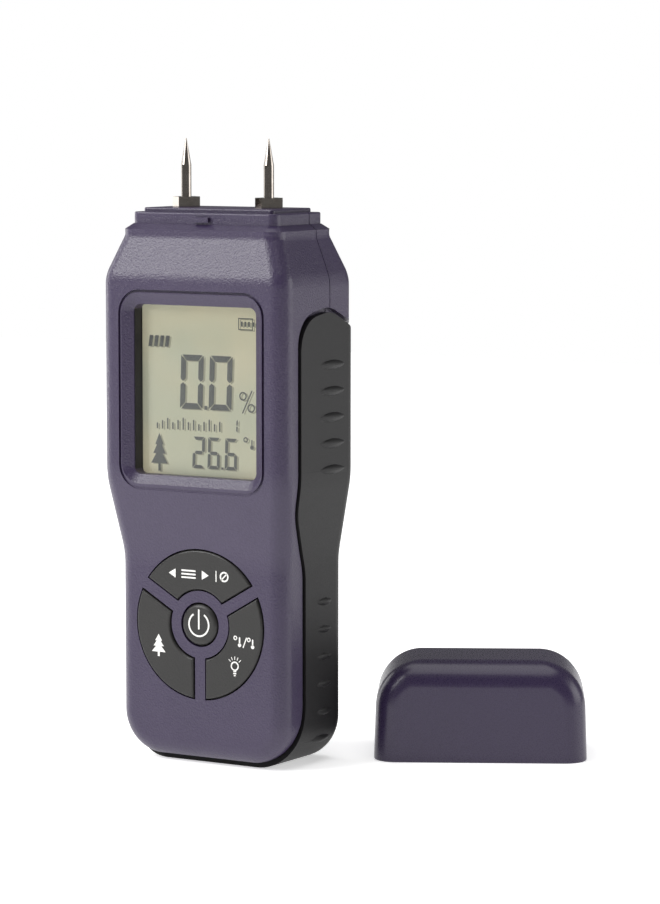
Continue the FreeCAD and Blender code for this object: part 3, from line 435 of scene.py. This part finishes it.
# ABS moulded against a spark-eroded tool: an even matt grain that glows softly where a light grazes it.
CASE_ABS = MouldedPolymer(
    "abs_spark_eroded_indigo", "#2f2640", "#40364f", 0.33, 0.50, 0.12, speckle=0.3
)
# The cap's tool was eroded finer, so its grain hardly shows and the corners shine more.
CAP_ABS = MouldedPolymer("abs_fine_eroded_indigo", "#2a203b", "#342a46", 0.28, 0.30, 0.014, speckle=0.15)
# Thermoplastic rubber moulded over the sides: dead matt, with a dusty sheen.
BAND_RUBBER = MouldedPolymer(
    "tpe_moulded_black", "#0e0d0e", "#171617", 0.5, 0.25, 0.012, ior=1.4, speckle=0.2
)
# Silicone keys with a worn satin face.
KEY_SILICONE = MouldedPolymer("silicone_moulded_black", "#141312", "#22201e", 0.42, 0.5, 0.04, speckle=0.3)
# The same plastic in plain black, for what sits inside and for the dark frame and wall sheet at the display:
# dull, with hardly any grain.
INNER_PLASTIC = MouldedPolymer("abs_moulded_black", "#18171a", "#222126", 0.5, 0.4, 0.010)
# Solder resist over woven glass: a green lacquer gloss.
BOARD_RESIST = MouldedPolymer("glass_epoxy_green_resist", "#14532b", "#1d6b3a", 0.3, 0.8, 0.010, coat=0.4)
# Filled epoxy, pressed round the chips: a sandy black.
CHIP_EPOXY = MouldedPolymer("epoxy_moulded_black", "#141414", "#1e1e1e", 0.5, 0.15, 0.008)
# Uncoloured keypad silicone: soft grey without shine.
MAT_SILICONE = MouldedPolymer("silicone_moulded_grey", "#6c6c6e", "#7a7a7c", 0.5, 0.3, 0.010)
# Carbon-filled silicone pills: the deepest black here.
CARBON = MouldedPolymer("carbon_pressed_black", "#0c0c0c", "#161616", 0.7, 0.2, 0.010)
# Frosted light guide: milky white.
DIFFUSER = MouldedPolymer("acrylic_frosted_white", "#e8e8e2", "#f4f4f0", 0.35, 0.5, 0.010)
# Shrunk sleeve of the cells: a plain grey gloss.
CELL_SLEEVE = MouldedPolymer("pvc_sleeve_grey", "#7f8288", "#8e9197", 0.28, 0.6, 0.005, coat=0.3)
# Extruded wire cover: a clean red.
LEAD_COVER = MouldedPolymer("pvc_extruded_red", "#8e1d1d", "#a52a2a", 0.4, 0.3, 0.010)
# Nickel over turned steel: a hard mirror of the lights. Its dark brown patch colour paints warm shade between
# the reflections.
PIN_STEEL = TurnedMetal("nickel_plated_steel_turned", "#a39c95", 0.10, stain_and_shade="#6b5f55")
# Bare turned brass: a warm yellow shine.
BRASS = TurnedMetal("brass_turned", "#c9a350", 0.2)
# Nickel over drawn wire and stamped plate: a softer grey shine.
SPRING_STEEL = TurnedMetal("nickel_plated_spring_steel", "#b9b9bb", 0.2)
# Blackened steel screws: dark, with a dull glint.
SCREW_STEEL = TurnedMetal("blackened_screw_steel", "#4b4a4c", 0.35)
REFLECTOR = CrystalReflector()
WINDOW = ClearSheet()
# Switched crystal: a grey that never gets quite black. Its shadow falls on the reflector behind it.
SEGMENT = Ink("lcd_segment_dark", "#5f6163", "#707272", 0.35, 0.8)
SEGMENT_SHADOW = Ink("lcd_segment_shadow", "#adab98", "#b4b29f", 0.5, 0.8)
# Pad printing on the keys: an even white with thin spots.
WHITE_PRINT = Ink("pad_print_white", "#e6e5e1", "#c9c7c1")

NODE_FINISHES: dict[str, Finish] = {
    "electrode_pin_left": PIN_STEEL,
    "electrode_pin_right": PIN_STEEL,
    "socket_left": BRASS,
    "socket_right": BRASS,
    "contact_strip_left": BRASS,
    "contact_strip_right": BRASS,
    "battery_plates": SPRING_STEEL,
    "battery_springs": SPRING_STEEL,
    "case_screws": SCREW_STEEL,
    "display_window": WINDOW,
    "lcd_panel": REFLECTOR,
    "backlight_panel": DIFFUSER,
    "backlight_leds": DIFFUSER,
    "lcd_holder": INNER_PLASTIC,
    "battery_tray": INNER_PLASTIC,
    "circuit_board": BOARD_RESIST,
    "main_chip": CHIP_EPOXY,
    "buzzer": CHIP_EPOXY,
    "temperature_sensor": CHIP_EPOXY,
    "keypad_mat": MAT_SILICONE,
    "carbon_pills": CARBON,
    "batteries": CELL_SLEEVE,
    "battery_leads": LEAD_COVER,
}


# Meshes.


def publish(name: str, mesh: bmesh.types.BMesh, finish: Finish) -> bpy.types.Object:
    """Turns a mesh under construction into an object with a finish.

    Args:
        name: The piece's name.
        mesh: The mesh, which is freed.
        finish: Its finish.

    Returns:
        The object, linked to the scene.
    """
    data = bpy.data.meshes.new(name)
    bmesh.ops.recalc_face_normals(mesh, faces=mesh.faces)
    mesh.to_mesh(data)
    mesh.free()
    piece = bpy.data.objects.new(name, data)
    bpy.context.scene.collection.objects.link(piece)
    data.materials.append(finish.material())
    return piece


def smooth(piece: bpy.types.Object, angle: float) -> None:
    """Shades a mesh smooth except across edges sharper than an angle in degrees."""
    data = piece.data
    data.polygons.foreach_set("use_smooth", [True] * len(data.polygons))
    data.set_sharp_from_angle(angle=math.radians(angle))


@dataclass(frozen=True)
class Softening:
    """How a moulded piece's edges are rounded.

    radius_mm is the tool's radius, angle is what an edge must turn by to count, and flat is the turn below
    which neighbouring facets become one.
    """

    radius_mm: float = 0.25
    angle: float = 35.0
    steps: int = 3
    flat: float = 0.6


def soften(node: bpy.types.Object, finish: Finish, how: Softening) -> bpy.types.Object:
    """Makes a moulded piece from its CAD node, with the small radius of a real tool on every edge.

    Args:
        node: The CAD node's object.
        finish: The piece's finish.
        how: The rounding.

    Returns:
        The new piece, which stands for the node.
    """
    mesh = bmesh.new()
    mesh.from_mesh(node.data)
    bmesh.ops.remove_doubles(mesh, verts=mesh.verts, dist=mm(0.002))
    bmesh.ops.dissolve_limit(mesh, angle_limit=math.radians(how.flat), verts=mesh.verts, edges=mesh.edges)
    piece = publish(node.name + "_moulded", mesh, finish)
    smooth(piece, 30.0)
    bevel = piece.modifiers.new("tool_radius", "BEVEL")
    bevel.width = mm(how.radius_mm)
    bevel.segments = how.steps
    bevel.limit_method = "ANGLE"
    bevel.angle_limit = math.radians(how.angle)
    bevel.miter_outer = "MITER_ARC"
    bevel.harden_normals = True
    bevel.use_clamp_overlap = True
    even = piece.modifiers.new("even_shading", "WEIGHTED_NORMAL")
    even.keep_sharp = True
    even.weight = 100
    return piece


@dataclass
class Stencil:
    """Flat marks drawn as outlines in a face's own x and z, in millimetres, and cut from thin ink."""

    outlines: list[Outline] = field(default_factory=list)

    def polygon(self, points: Iterable[Point]) -> "Stencil":
        """Adds a filled outline."""
        self.outlines.append(list(points))
        return self

    def line(self, start: Point, end: Point, width: float, ends: int = 5) -> "Stencil":
        """Adds a straight stroke with round ends.

        Args:
            start: Where it starts.
            end: Where it ends.
            width: Its width.
            ends: How many steps round each end.

        Returns:
            The stencil itself.
        """
        turn = math.atan2(end[1] - start[1], end[0] - start[0])
        points: Outline = []
        for centre, base in ((end, turn - math.pi / 2), (start, turn + math.pi / 2)):
            for step in range(ends + 1):
                angle = base + math.pi * step / ends
                points.append(
                    (centre[0] + width / 2 * math.cos(angle), centre[1] + width / 2 * math.sin(angle))
                )
        return self.polygon(points)

    def arc(self, centre: Point, radius: float, span: tuple[float, float], width: float) -> "Stencil":
        """Adds a curved stroke.

        Args:
            centre: The arc's centre.
            radius: The radius of its middle line.
            span: Its first and last angle, in degrees from +X.
            width: The stroke's width.

        Returns:
            The stencil itself.
        """
        first, last = (math.radians(a) for a in span)
        steps = max(8, round(abs(last - first) * radius / 0.18))
        rims: list[Outline] = []
        for rim in (radius + width / 2, radius - width / 2):
            rims.append(
                [
                    (
                        centre[0] + rim * math.cos(first + (last - first) * s / steps),
                        centre[1] + rim * math.sin(first + (last - first) * s / steps),
                    )
                    for s in range(steps + 1)
                ]
            )
        outer, inner = rims
        for step in range(steps):
            self.polygon([outer[step], outer[step + 1], inner[step + 1], inner[step]])
        return self

    def ring(self, centre: Point, radius: float, width: float) -> "Stencil":
        """Adds a closed ring."""
        return self.arc(centre, radius, (0, 360), width)

    def disc(self, centre: Point, radius: float) -> "Stencil":
        """Adds a filled disc."""
        return self.line(centre, centre, 2 * radius, 12)

    def box(self, low: Point, high: Point) -> "Stencil":
        """Adds a filled upright rectangle."""
        return self.polygon([low, (high[0], low[1]), high, (low[0], high[1])])

    def tree(self, foot: Point, wide: float, tall: float) -> "Stencil":
        """Adds a conifer of three tiers on a trunk.

        Args:
            foot: The bottom middle of its trunk.
            wide: The width of its lowest tier.
            tall: Its height.

        Returns:
            The stencil itself.
        """
        half = [(0.07, 0.0), (0.07, 0.20), (0.50, 0.20), (0.19, 0.46), (0.37, 0.46), (0.14, 0.70), (0.25, 0.70)]
        right = [(foot[0] + wide * across, foot[1] + tall * up) for across, up in half]
        left = [(2 * foot[0] - x, z) for x, z in reversed(right)]
        return self.polygon([*right, (foot[0], foot[1] + tall), *left])

    def seven(self, low: Point, wide: float, tall: float, stroke: float, lit: str) -> "Stencil":
        """Adds a seven-segment digit that leans a little.

        Args:
            low: Its lower left corner.
            wide: Its width.
            tall: Its height.
            stroke: The width of a segment.
            lit: Letters a to g of the segments that are on.

        Returns:
            The stencil itself.
        """
        gap, half, lean = stroke * 0.10, stroke / 2, 0.035
        middle = tall / 2
        right = wide - stroke

        def across(z: float, taper: float) -> Outline:
            """A level segment whose middle line is at z; taper is +1 at the top, -1 at the foot, 0 between."""
            a, b = stroke + gap, right - gap
            if taper == 0:
                tip = half * 0.6
                ends = [(b, z + half), (b + tip, z), (b, z - half)]
                return [(a, z - half), (a - tip, z), (a, z + half), *ends]
            far, near, splay = z + taper * half, z - taper * half, stroke * 0.85
            return [(a, near), (b, near), (b + splay, far), (a - splay, far)]

        def up(x: float, low_z: float, high_z: float, side: float, foot: bool) -> Outline:
            """An upright segment; side is -1 on the left, and foot is True in the lower half."""
            outer, inner = x + side * half, x - side * half
            if foot:
                shape = [(outer, low_z + gap), (inner, low_z + stroke + gap), (inner, high_z - half - gap)]
                return [*shape, (x, high_z - gap), (outer, high_z - half)]
            shape = [(outer, low_z + half), (x, low_z + gap), (inner, low_z + half + gap)]
            return [*shape, (inner, high_z - stroke - gap), (outer, high_z - gap)]

        left_x, right_x = half, wide - half
        shapes = {
            "a": across(tall - half, 1),
            "d": across(half, -1),
            "g": across(middle, 0),
            "e": up(left_x, 0, middle, -1, True),
            "c": up(right_x, 0, middle, 1, True),
            "f": up(left_x, middle, tall, -1, False),
            "b": up(right_x, middle, tall, 1, False),
        }
        for letter in lit:
            self.polygon([(low[0] + x + lean * z, low[1] + z) for x, z in shapes[letter]])
        return self

    def cut_out(self, name: str, at: Vector, thick_mm: float, finish: Finish) -> bpy.types.Object:
        """Cuts the marks out of a thin sheet.

        Args:
            name: The piece's name.
            at: The point of the face that the outlines are drawn from; the sheet stands proud of it to -Y.
            thick_mm: The sheet's thickness.
            finish: Its finish.

        Returns:
            The piece.
        """
        mesh = bmesh.new()
        for outline in self.outlines:
            back = [mesh.verts.new(at + Vector((mm(x), 0, mm(z)))) for x, z in outline]
            front = [mesh.verts.new(v.co - Vector((0, mm(thick_mm), 0))) for v in back]
            mesh.faces.new(back)
            mesh.faces.new(front)
            for index, corner in enumerate(back):
                follow = (index + 1) % len(back)
                mesh.faces.new([corner, back[follow], front[follow], front[index]])
        bmesh.ops.remove_doubles(mesh, verts=mesh.verts, dist=1e-7)
        return publish(name, mesh, finish)


class Digit(Enum):
    """Segments that are on for the figures that the display shows."""

    ZERO = "abcdef"
    ONE = "bc"
    TWO = "abged"
    SIX = "afgedc"


# Sub-assemblies.


@dataclass
class Case:
    """Front and back covers, rubber band, electrode block and battery door."""

    nodes: dict[str, bpy.types.Object]
    cover: Softening = Softening(0.22)
    band: Softening = Softening(0.5, 50.0, 4, 0.05)
    fine: Softening = Softening(0.15)

    def build(self) -> list[bpy.types.Object]:
        """Makes the moulded pieces and lets them ride on their bodies."""
        wanted: tuple[tuple[str, Finish, Softening, str], ...] = (
            ("front_cover", CASE_ABS, self.cover, "case"),
            ("rear_cover", CASE_ABS, self.cover, "case"),
            ("electrode_block", CASE_ABS, self.fine, "case"),
            ("side_band", BAND_RUBBER, self.band, "case"),
            ("battery_door", CASE_ABS, self.fine, "door"),
        )
        made = []
        for node, finish, how, body in wanted:
            piece = soften(self.nodes[node], finish, how)
            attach(piece, body)
            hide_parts(node)
            made.append(piece)
        return made


@dataclass
class Cap:
    """The push-on cap that covers the pins, standing mouth down."""

    nodes: dict[str, bpy.types.Object]
    rim: Softening = Softening(0.6, 50.0, 4)

    def build(self) -> list[bpy.types.Object]:
        """Makes the cap and lets it ride on its own body."""
        piece = soften(self.nodes["cap_shell"], CAP_ABS, self.rim)
        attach(piece, "cap")
        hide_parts("cap_shell")
        return [piece]


@dataclass
class Display:
    """The marks of the liquid crystal panel, and the soft shadows that they throw on its reflector.

    Sizes are in millimetres. The marks float mark_depth over the reflector, and their shadows are a skin on it.
    """

    mark_thick_mm: float = 0.03
    mark_depth: float = 0.07
    skin: float = 0.01
    edge_gap: float = 0.1
    shadow_shift_mm: Point = (0.55, -0.25)
    big_tall: float = 14.1
    big_wide: float = 7.0
    big_stroke: float = 1.55
    small_tall: float = 8.2
    small_wide: float = 3.7
    small_stroke: float = 0.85
    thin_stroke: float = 0.36
    seen_left: float = 19.0
    seen_tall: float = 44.8
    seen_round: float = 1.6
    opening_wide: float = 37.7
    liner_thick: float = 0.12
    liner_gap: float = 0.03
    liner_back: float = 2.2

    def big_marks(self) -> Stencil:
        """The reading, 0.0, with its decimal point; its percent sign is drawn with the small marks."""
        marks = Stencil()
        for left in (-7.3, 1.6):
            marks.seven((left, -4.9), self.big_wide, self.big_tall, self.big_stroke, Digit.ZERO.value)
        return marks.box((0.35, -4.9), (1.25, -3.9))

    def temperature(self, marks: Stencil) -> None:
        """The small reading, 26.6, with a degree ring and a thermometer."""
        foot, point = -20.2, 0.6
        for left, digit in ((-3.5, Digit.TWO), (1.2, Digit.SIX), (6.5, Digit.SIX)):
            marks.seven((left, foot), self.small_wide, self.small_tall, self.small_stroke, digit.value)
        marks.box((5.55, foot), (5.55 + point, foot + point))
        marks.ring((13.0, -12.1), 0.55, 0.3)
        marks.line((14.9, -12.2), (14.9, -13.4), self.thin_stroke).disc((14.9, -14.0), 0.55)

    def percent(self, marks: Stencil) -> None:
        """The percent sign."""
        for centre in ((12.2, -0.9), (14.7, -3.9)):
            marks.ring(centre, 0.95, 0.38)
        marks.line((12.1, -5.2), (14.9, 0.5), self.thin_stroke)

    def scale(self, marks: Stencil) -> None:
        """A row of bars of uneven height, with the number of the timber group."""
        foot, bars, pitch, thick = -10.4, 13, 1.62, 0.42
        for index in range(bars):
            tall = 1.5 + 1.6 * ((index * 5) % bars) / (bars - 1)
            left = -14.6 + index * pitch
            marks.box((left, foot), (left + thick, foot + tall))
        marks.seven((9.0, foot), 1.5, 3.4, thick, Digit.ONE.value)

    def battery(self, marks: Stencil) -> None:
        """The battery sign: an outline with its nub and three bars."""
        low, high, line = (10.8, 16.1), (15.3, 19.2), 0.26
        marks.box(low, (high[0], low[1] + line)).box((low[0], high[1] - line), high)
        marks.box((low[0], low[1] + line), (low[0] + line, high[1] - line))
        marks.box((high[0] - line, low[1] + line), (high[0], high[1] - line))
        marks.box((high[0], 17.1), (high[0] + 0.4, 18.2))
        for index in range(3):
            left = low[0] + 0.8 + index * 1.1
            marks.box((left, 17.0), (left + 0.55, 18.3))

    def pulse(self, marks: Stencil) -> None:
        """Four slanted bars that show that a measurement runs."""
        low, high, lean, thick = 11.0, 13.9, 0.45, 1.1
        for index in range(4):
            left = -17.1 + index * 1.72
            top = left + lean
            marks.polygon([(left, low), (left + thick, low), (top + thick, high), (top, high)])

    def small_marks(self) -> Stencil:
        """The temperature, battery, timber and scale marks."""
        marks = Stencil()
        for draw in (self.temperature, self.percent, self.scale, self.battery, self.pulse):
            draw(marks)
        return marks.tree((-13.8, -21.5), 5.2, 9.9)

    def dark_frame(self, at: Vector, half: Point) -> bpy.types.Object:
        """A black frame round the visible area, with one soft lower corner, which makes the panel's edge beside
        that area dark.

        Args:
            at: The middle of the panel's face.
            half: Half the panel's width and height, in millimetres.

        Returns:
            The frame.
        """
        left, right, rise = -self.seen_left, half[0] - 2 * self.edge_gap, self.seen_tall / 2
        wide, tall = half[0] - self.edge_gap, half[1] - self.edge_gap
        corner = self.seen_round
        frame = Stencil()
        frame.polygon([(-wide, -tall), (left, -tall), (left, tall), (-wide, tall)])
        frame.polygon([(left, rise), (right, rise), (right, tall), (left, tall)])
        frame.polygon([(left, -tall), (right, -tall), (right, -rise), (left, -rise)])
        steps = 8
        for step in range(steps):
            turns = [math.pi / 2 * (step + more) / steps for more in (0, 1)]
            arc = [(left + corner * (1 - math.cos(t)), corner - rise - corner * math.sin(t)) for t in turns]
            frame.polygon([(left, -rise), *reversed(arc)] if step else [(left, -rise), arc[1], arc[0]])
        return frame.cut_out("display_dark_frame", at, self.liner_thick, INNER_PLASTIC)

    def liner(self) -> bpy.types.Object:
        """A thin black sheet on the opening's left side wall, between the window and the bezel, which makes
        that wall dark.

        Returns:
            The edge.
        """
        low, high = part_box("display_window")
        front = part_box("front_cover")[0].y
        middle = (low.z + high.z) / 2
        wall = -mm(self.opening_wide / 2 - self.liner_gap)
        mesh = bmesh.new()
        size = (mm(self.liner_thick), low.y - front - mm(self.liner_back), mm(self.seen_tall))
        centre = (wall + size[0] / 2, low.y - size[1] / 2 - mm(self.liner_gap), middle)
        bmesh.ops.create_cube(mesh, size=1.0, matrix=Matrix.LocRotScale(Vector(centre), None, Vector(size)))
        return publish("opening_liner", mesh, INNER_PLASTIC)

    def build(self) -> list[bpy.types.Object]:
        """Lays the marks on the panel's face."""
        low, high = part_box("lcd_panel")
        half = ((high.x - low.x) * 500, (high.z - low.z) * 500)
        face = Vector(((low.x + high.x) / 2, low.y - mm(self.skin), (low.z + high.z) / 2))
        at = face - Vector((0, mm(self.mark_depth), 0))
        made = [self.dark_frame(face - Vector((0, mm(self.edge_gap), 0)), half), self.liner()]
        for name, marks in (("lcd_reading", self.big_marks()), ("lcd_small_marks", self.small_marks())):
            made.append(marks.cut_out(name, at, self.mark_thick_mm, SEGMENT))
            shift = Vector((mm(self.shadow_shift_mm[0]), mm(self.mark_depth), mm(self.shadow_shift_mm[1])))
            made.append(marks.cut_out(name + "_shadow", at + shift, self.skin, SEGMENT_SHADOW))
        for piece in made:
            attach(piece, "case")
        return made


@dataclass
class Keypad:
    """Four keys and the plain white signs printed on them."""

    nodes: dict[str, bpy.types.Object]
    print_thick_mm: float = 0.03
    stroke: float = 0.42
    edge: Softening = Softening(0.3)

    def power_sign(self) -> Stencil:
        """A broken ring with an upright stroke."""
        return Stencil().arc((0, 0.1), 3.05, (122, 418), 0.46).line((0, 3.9), (0, -1.0), 0.46)

    def mode_sign(self) -> Stencil:
        """Back arrow, list, forward arrow and a struck ring, in a row."""
        marks = Stencil()
        z = 13.1
        marks.polygon([(-9.3, z), (-7.2, z + 1.2), (-7.2, z - 1.2)])
        marks.polygon([(3.1, z), (1.0, z - 1.2), (1.0, z + 1.2)])
        for step in (-1, 0, 1):
            marks.line((-5.2, z + 0.9 * step), (-1.1, z + 0.9 * step), self.stroke)
        marks.ring((7.9, z), 1.15, self.stroke).line((7.1, z - 0.8), (8.7, z + 0.8), self.stroke * 0.8)
        marks.line((5.4, z - 1.3), (5.4, z + 1.3), self.stroke * 0.7)
        return marks

    def wood_sign(self) -> Stencil:
        """A conifer."""
        return Stencil().tree((-12.6, -9.2), 4.3, 5.9)

    def unit_sign(self) -> Stencil:
        """A thermometer and a degree ring over a lamp."""
        marks = Stencil()
        marks.ring((11.3, -2.5), 0.45, 0.28).line((12.6, -2.4), (12.6, -3.9), 0.42).disc((12.6, -4.3), 0.5)
        marks.line((13.7, -4.8), (14.7, -2.3), 0.3)
        marks.ring((15.4, -2.7), 0.45, 0.28).line((16.6, -2.7), (16.6, -4.1), 0.42).disc((16.6, -4.5), 0.5)
        lamp = (11.1, -9.9)
        marks.ring(lamp, 1.05, 0.36)
        for half, low, high in ((0.45, -11.4, -11.0), (0.45, -12.0, -11.6), (0.3, -12.5, -12.2)):
            marks.box((lamp[0] - half, low), (lamp[0] + half, high))
        for step in range(-2, 3):
            angle = math.radians(90 - 24 * step)
            start, end = (
                (lamp[0] + reach * math.cos(angle), lamp[1] + reach * math.sin(angle)) for reach in (1.75, 2.45)
            )
            marks.line(start, end, 0.2, 3)
        return marks

    def build(self) -> list[bpy.types.Object]:
        """Dresses the keys and prints their signs, which ride on the keys."""
        power_low, power_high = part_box("key_power")
        centre = Vector((0, 0, (power_low.z + power_high.z) / 2))
        signs = {
            "power": self.power_sign(),
            "mode": self.mode_sign(),
            "wood": self.wood_sign(),
            "unit": self.unit_sign(),
        }
        made = []
        for key, marks in signs.items():
            node = f"key_{key}"
            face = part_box(node)[0].y
            pad = soften(self.nodes[node], KEY_SILICONE, self.edge)
            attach(pad, f"{key}_key")
            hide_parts(node)
            sign = marks.cut_out(f"sign_{key}", centre + Vector((0, face, 0)), self.print_thick_mm, WHITE_PRINT)
            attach(sign, f"{key}_key")
            made += [pad, sign]
        return made


def dress(node: bpy.types.Object, finish: Finish) -> None:
    """Gives a carried-over CAD node its finish."""
    node.data.materials.clear()
    node.data.materials.append(finish.material())


# Studio.


@dataclass(frozen=True)
class SoftBox:
    """A square soft light that faces the meter."""

    name: str
    azimuth: float
    height: float
    distance: float
    size: tuple[float, float]
    radiance: float
    aim_height: float = 0.08

    def build(self) -> bpy.types.Object:
        """Makes the light. Azimuth 0 is in front of the display, and 90 to its right."""
        data = bpy.data.lights.new(self.name, "AREA")
        data.shape = "RECTANGLE"
        data.size, data.size_y = self.size
        data.energy = self.radiance * math.pi * self.size[0] * self.size[1]
        lamp = bpy.data.objects.new(self.name, data)
        turn = math.radians(self.azimuth)
        lamp.location = Vector(
            (math.sin(turn) * self.distance, -math.cos(turn) * self.distance, self.height)
        )
        away = lamp.location - Vector((0, 0, self.aim_height))
        lamp.rotation_mode = "QUATERNION"
        lamp.rotation_quaternion = away.to_track_quat("Z", "Y")
        bpy.context.scene.collection.objects.link(lamp)
        return lamp


@dataclass
class Studio:
    """Floor, lights and camera."""

    floor_size: float = 2.6
    camera_azimuth: float = 31.514
    camera_elevation: float = 5.664
    camera_distance: float = 0.940
    camera_aim: tuple[float, float, float] = (0.0221, 0.0150, 0.0809)
    focal_length: float = 142.85
    ambient: float = 0.19
    lights: tuple[SoftBox, ...] = (
        SoftBox("soft_box_left", -40.0, 0.46, 0.56, (0.46, 0.38), 8.2),
        SoftBox("soft_box_right", 118.0, 0.26, 0.85, (0.6, 0.42), 2.8),
        SoftBox("soft_box_rim", -96.0, 0.24, 0.8, (0.4, 0.5), 2.6),
        SoftBox("soft_box_top", 0.0, 1.3, 0.12, (1.4, 1.2), 1.9),
    )

    def build(self) -> None:
        """Makes the whole studio."""
        self.floor()
        self.world()
        for light in self.lights:
            light.build()
        self.camera()

    def floor(self) -> None:
        """A flat pale floor."""
        mesh = bmesh.new()
        bmesh.ops.create_grid(mesh, x_segments=8, y_segments=8, size=self.floor_size / 2)
        floor = publish("floor", mesh, StudioPaper())

    def world(self) -> None:
        """A white backdrop, and a dim even room for what no light reaches."""
        world = bpy.data.worlds.new("studio_room")
        world.use_nodes = True
        tree = world.node_tree
        tree.nodes.clear()
        seen = add(tree, "LightPath").outputs["Is Camera Ray"]
        strength = add(
            tree, "MapRange", {"Value": seen, "To Min": self.ambient, "To Max": 1.0}
        ).outputs["Result"]
        room = add(tree, "Background", {"Color": srgb("#ffffff"), "Strength": strength})
        out = add(tree, "OutputWorld")
        tree.links.new(room.outputs["Background"], out.inputs["Surface"])
        bpy.context.scene.world = world
        bpy.context.scene.view_settings.view_transform = "Standard"

    def camera(self) -> None:
        """The camera at eye level on the meter's right front corner."""
        data = bpy.data.cameras.new("camera")
        data.lens = self.focal_length
        data.sensor_width = 36.0
        camera = bpy.data.objects.new("camera", data)
        turn, tilt = math.radians(self.camera_azimuth), math.radians(self.camera_elevation)
        back = Vector((math.sin(turn) * math.cos(tilt), -math.cos(turn) * math.cos(tilt), math.sin(tilt)))
        camera.location = Vector(self.camera_aim) + back * self.camera_distance
        camera.rotation_euler = (math.pi / 2 - tilt, 0, turn)
        bpy.context.scene.collection.objects.link(camera)
        bpy.context.scene.camera = camera


def main() -> None:
    """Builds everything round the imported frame, in order."""
    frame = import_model()
    Studio().build()
    nodes = frame["nodes"]
    for node, finish in NODE_FINISHES.items():
        dress(nodes[node], finish)
        log.info("dressed %s in %s", node, finish.name)
    for part in (Case(nodes), Cap(nodes), Display(), Keypad(nodes)):
        for piece in part.build():
            log.info("built %s", piece.name)


if __name__ == "__main__":
    main()
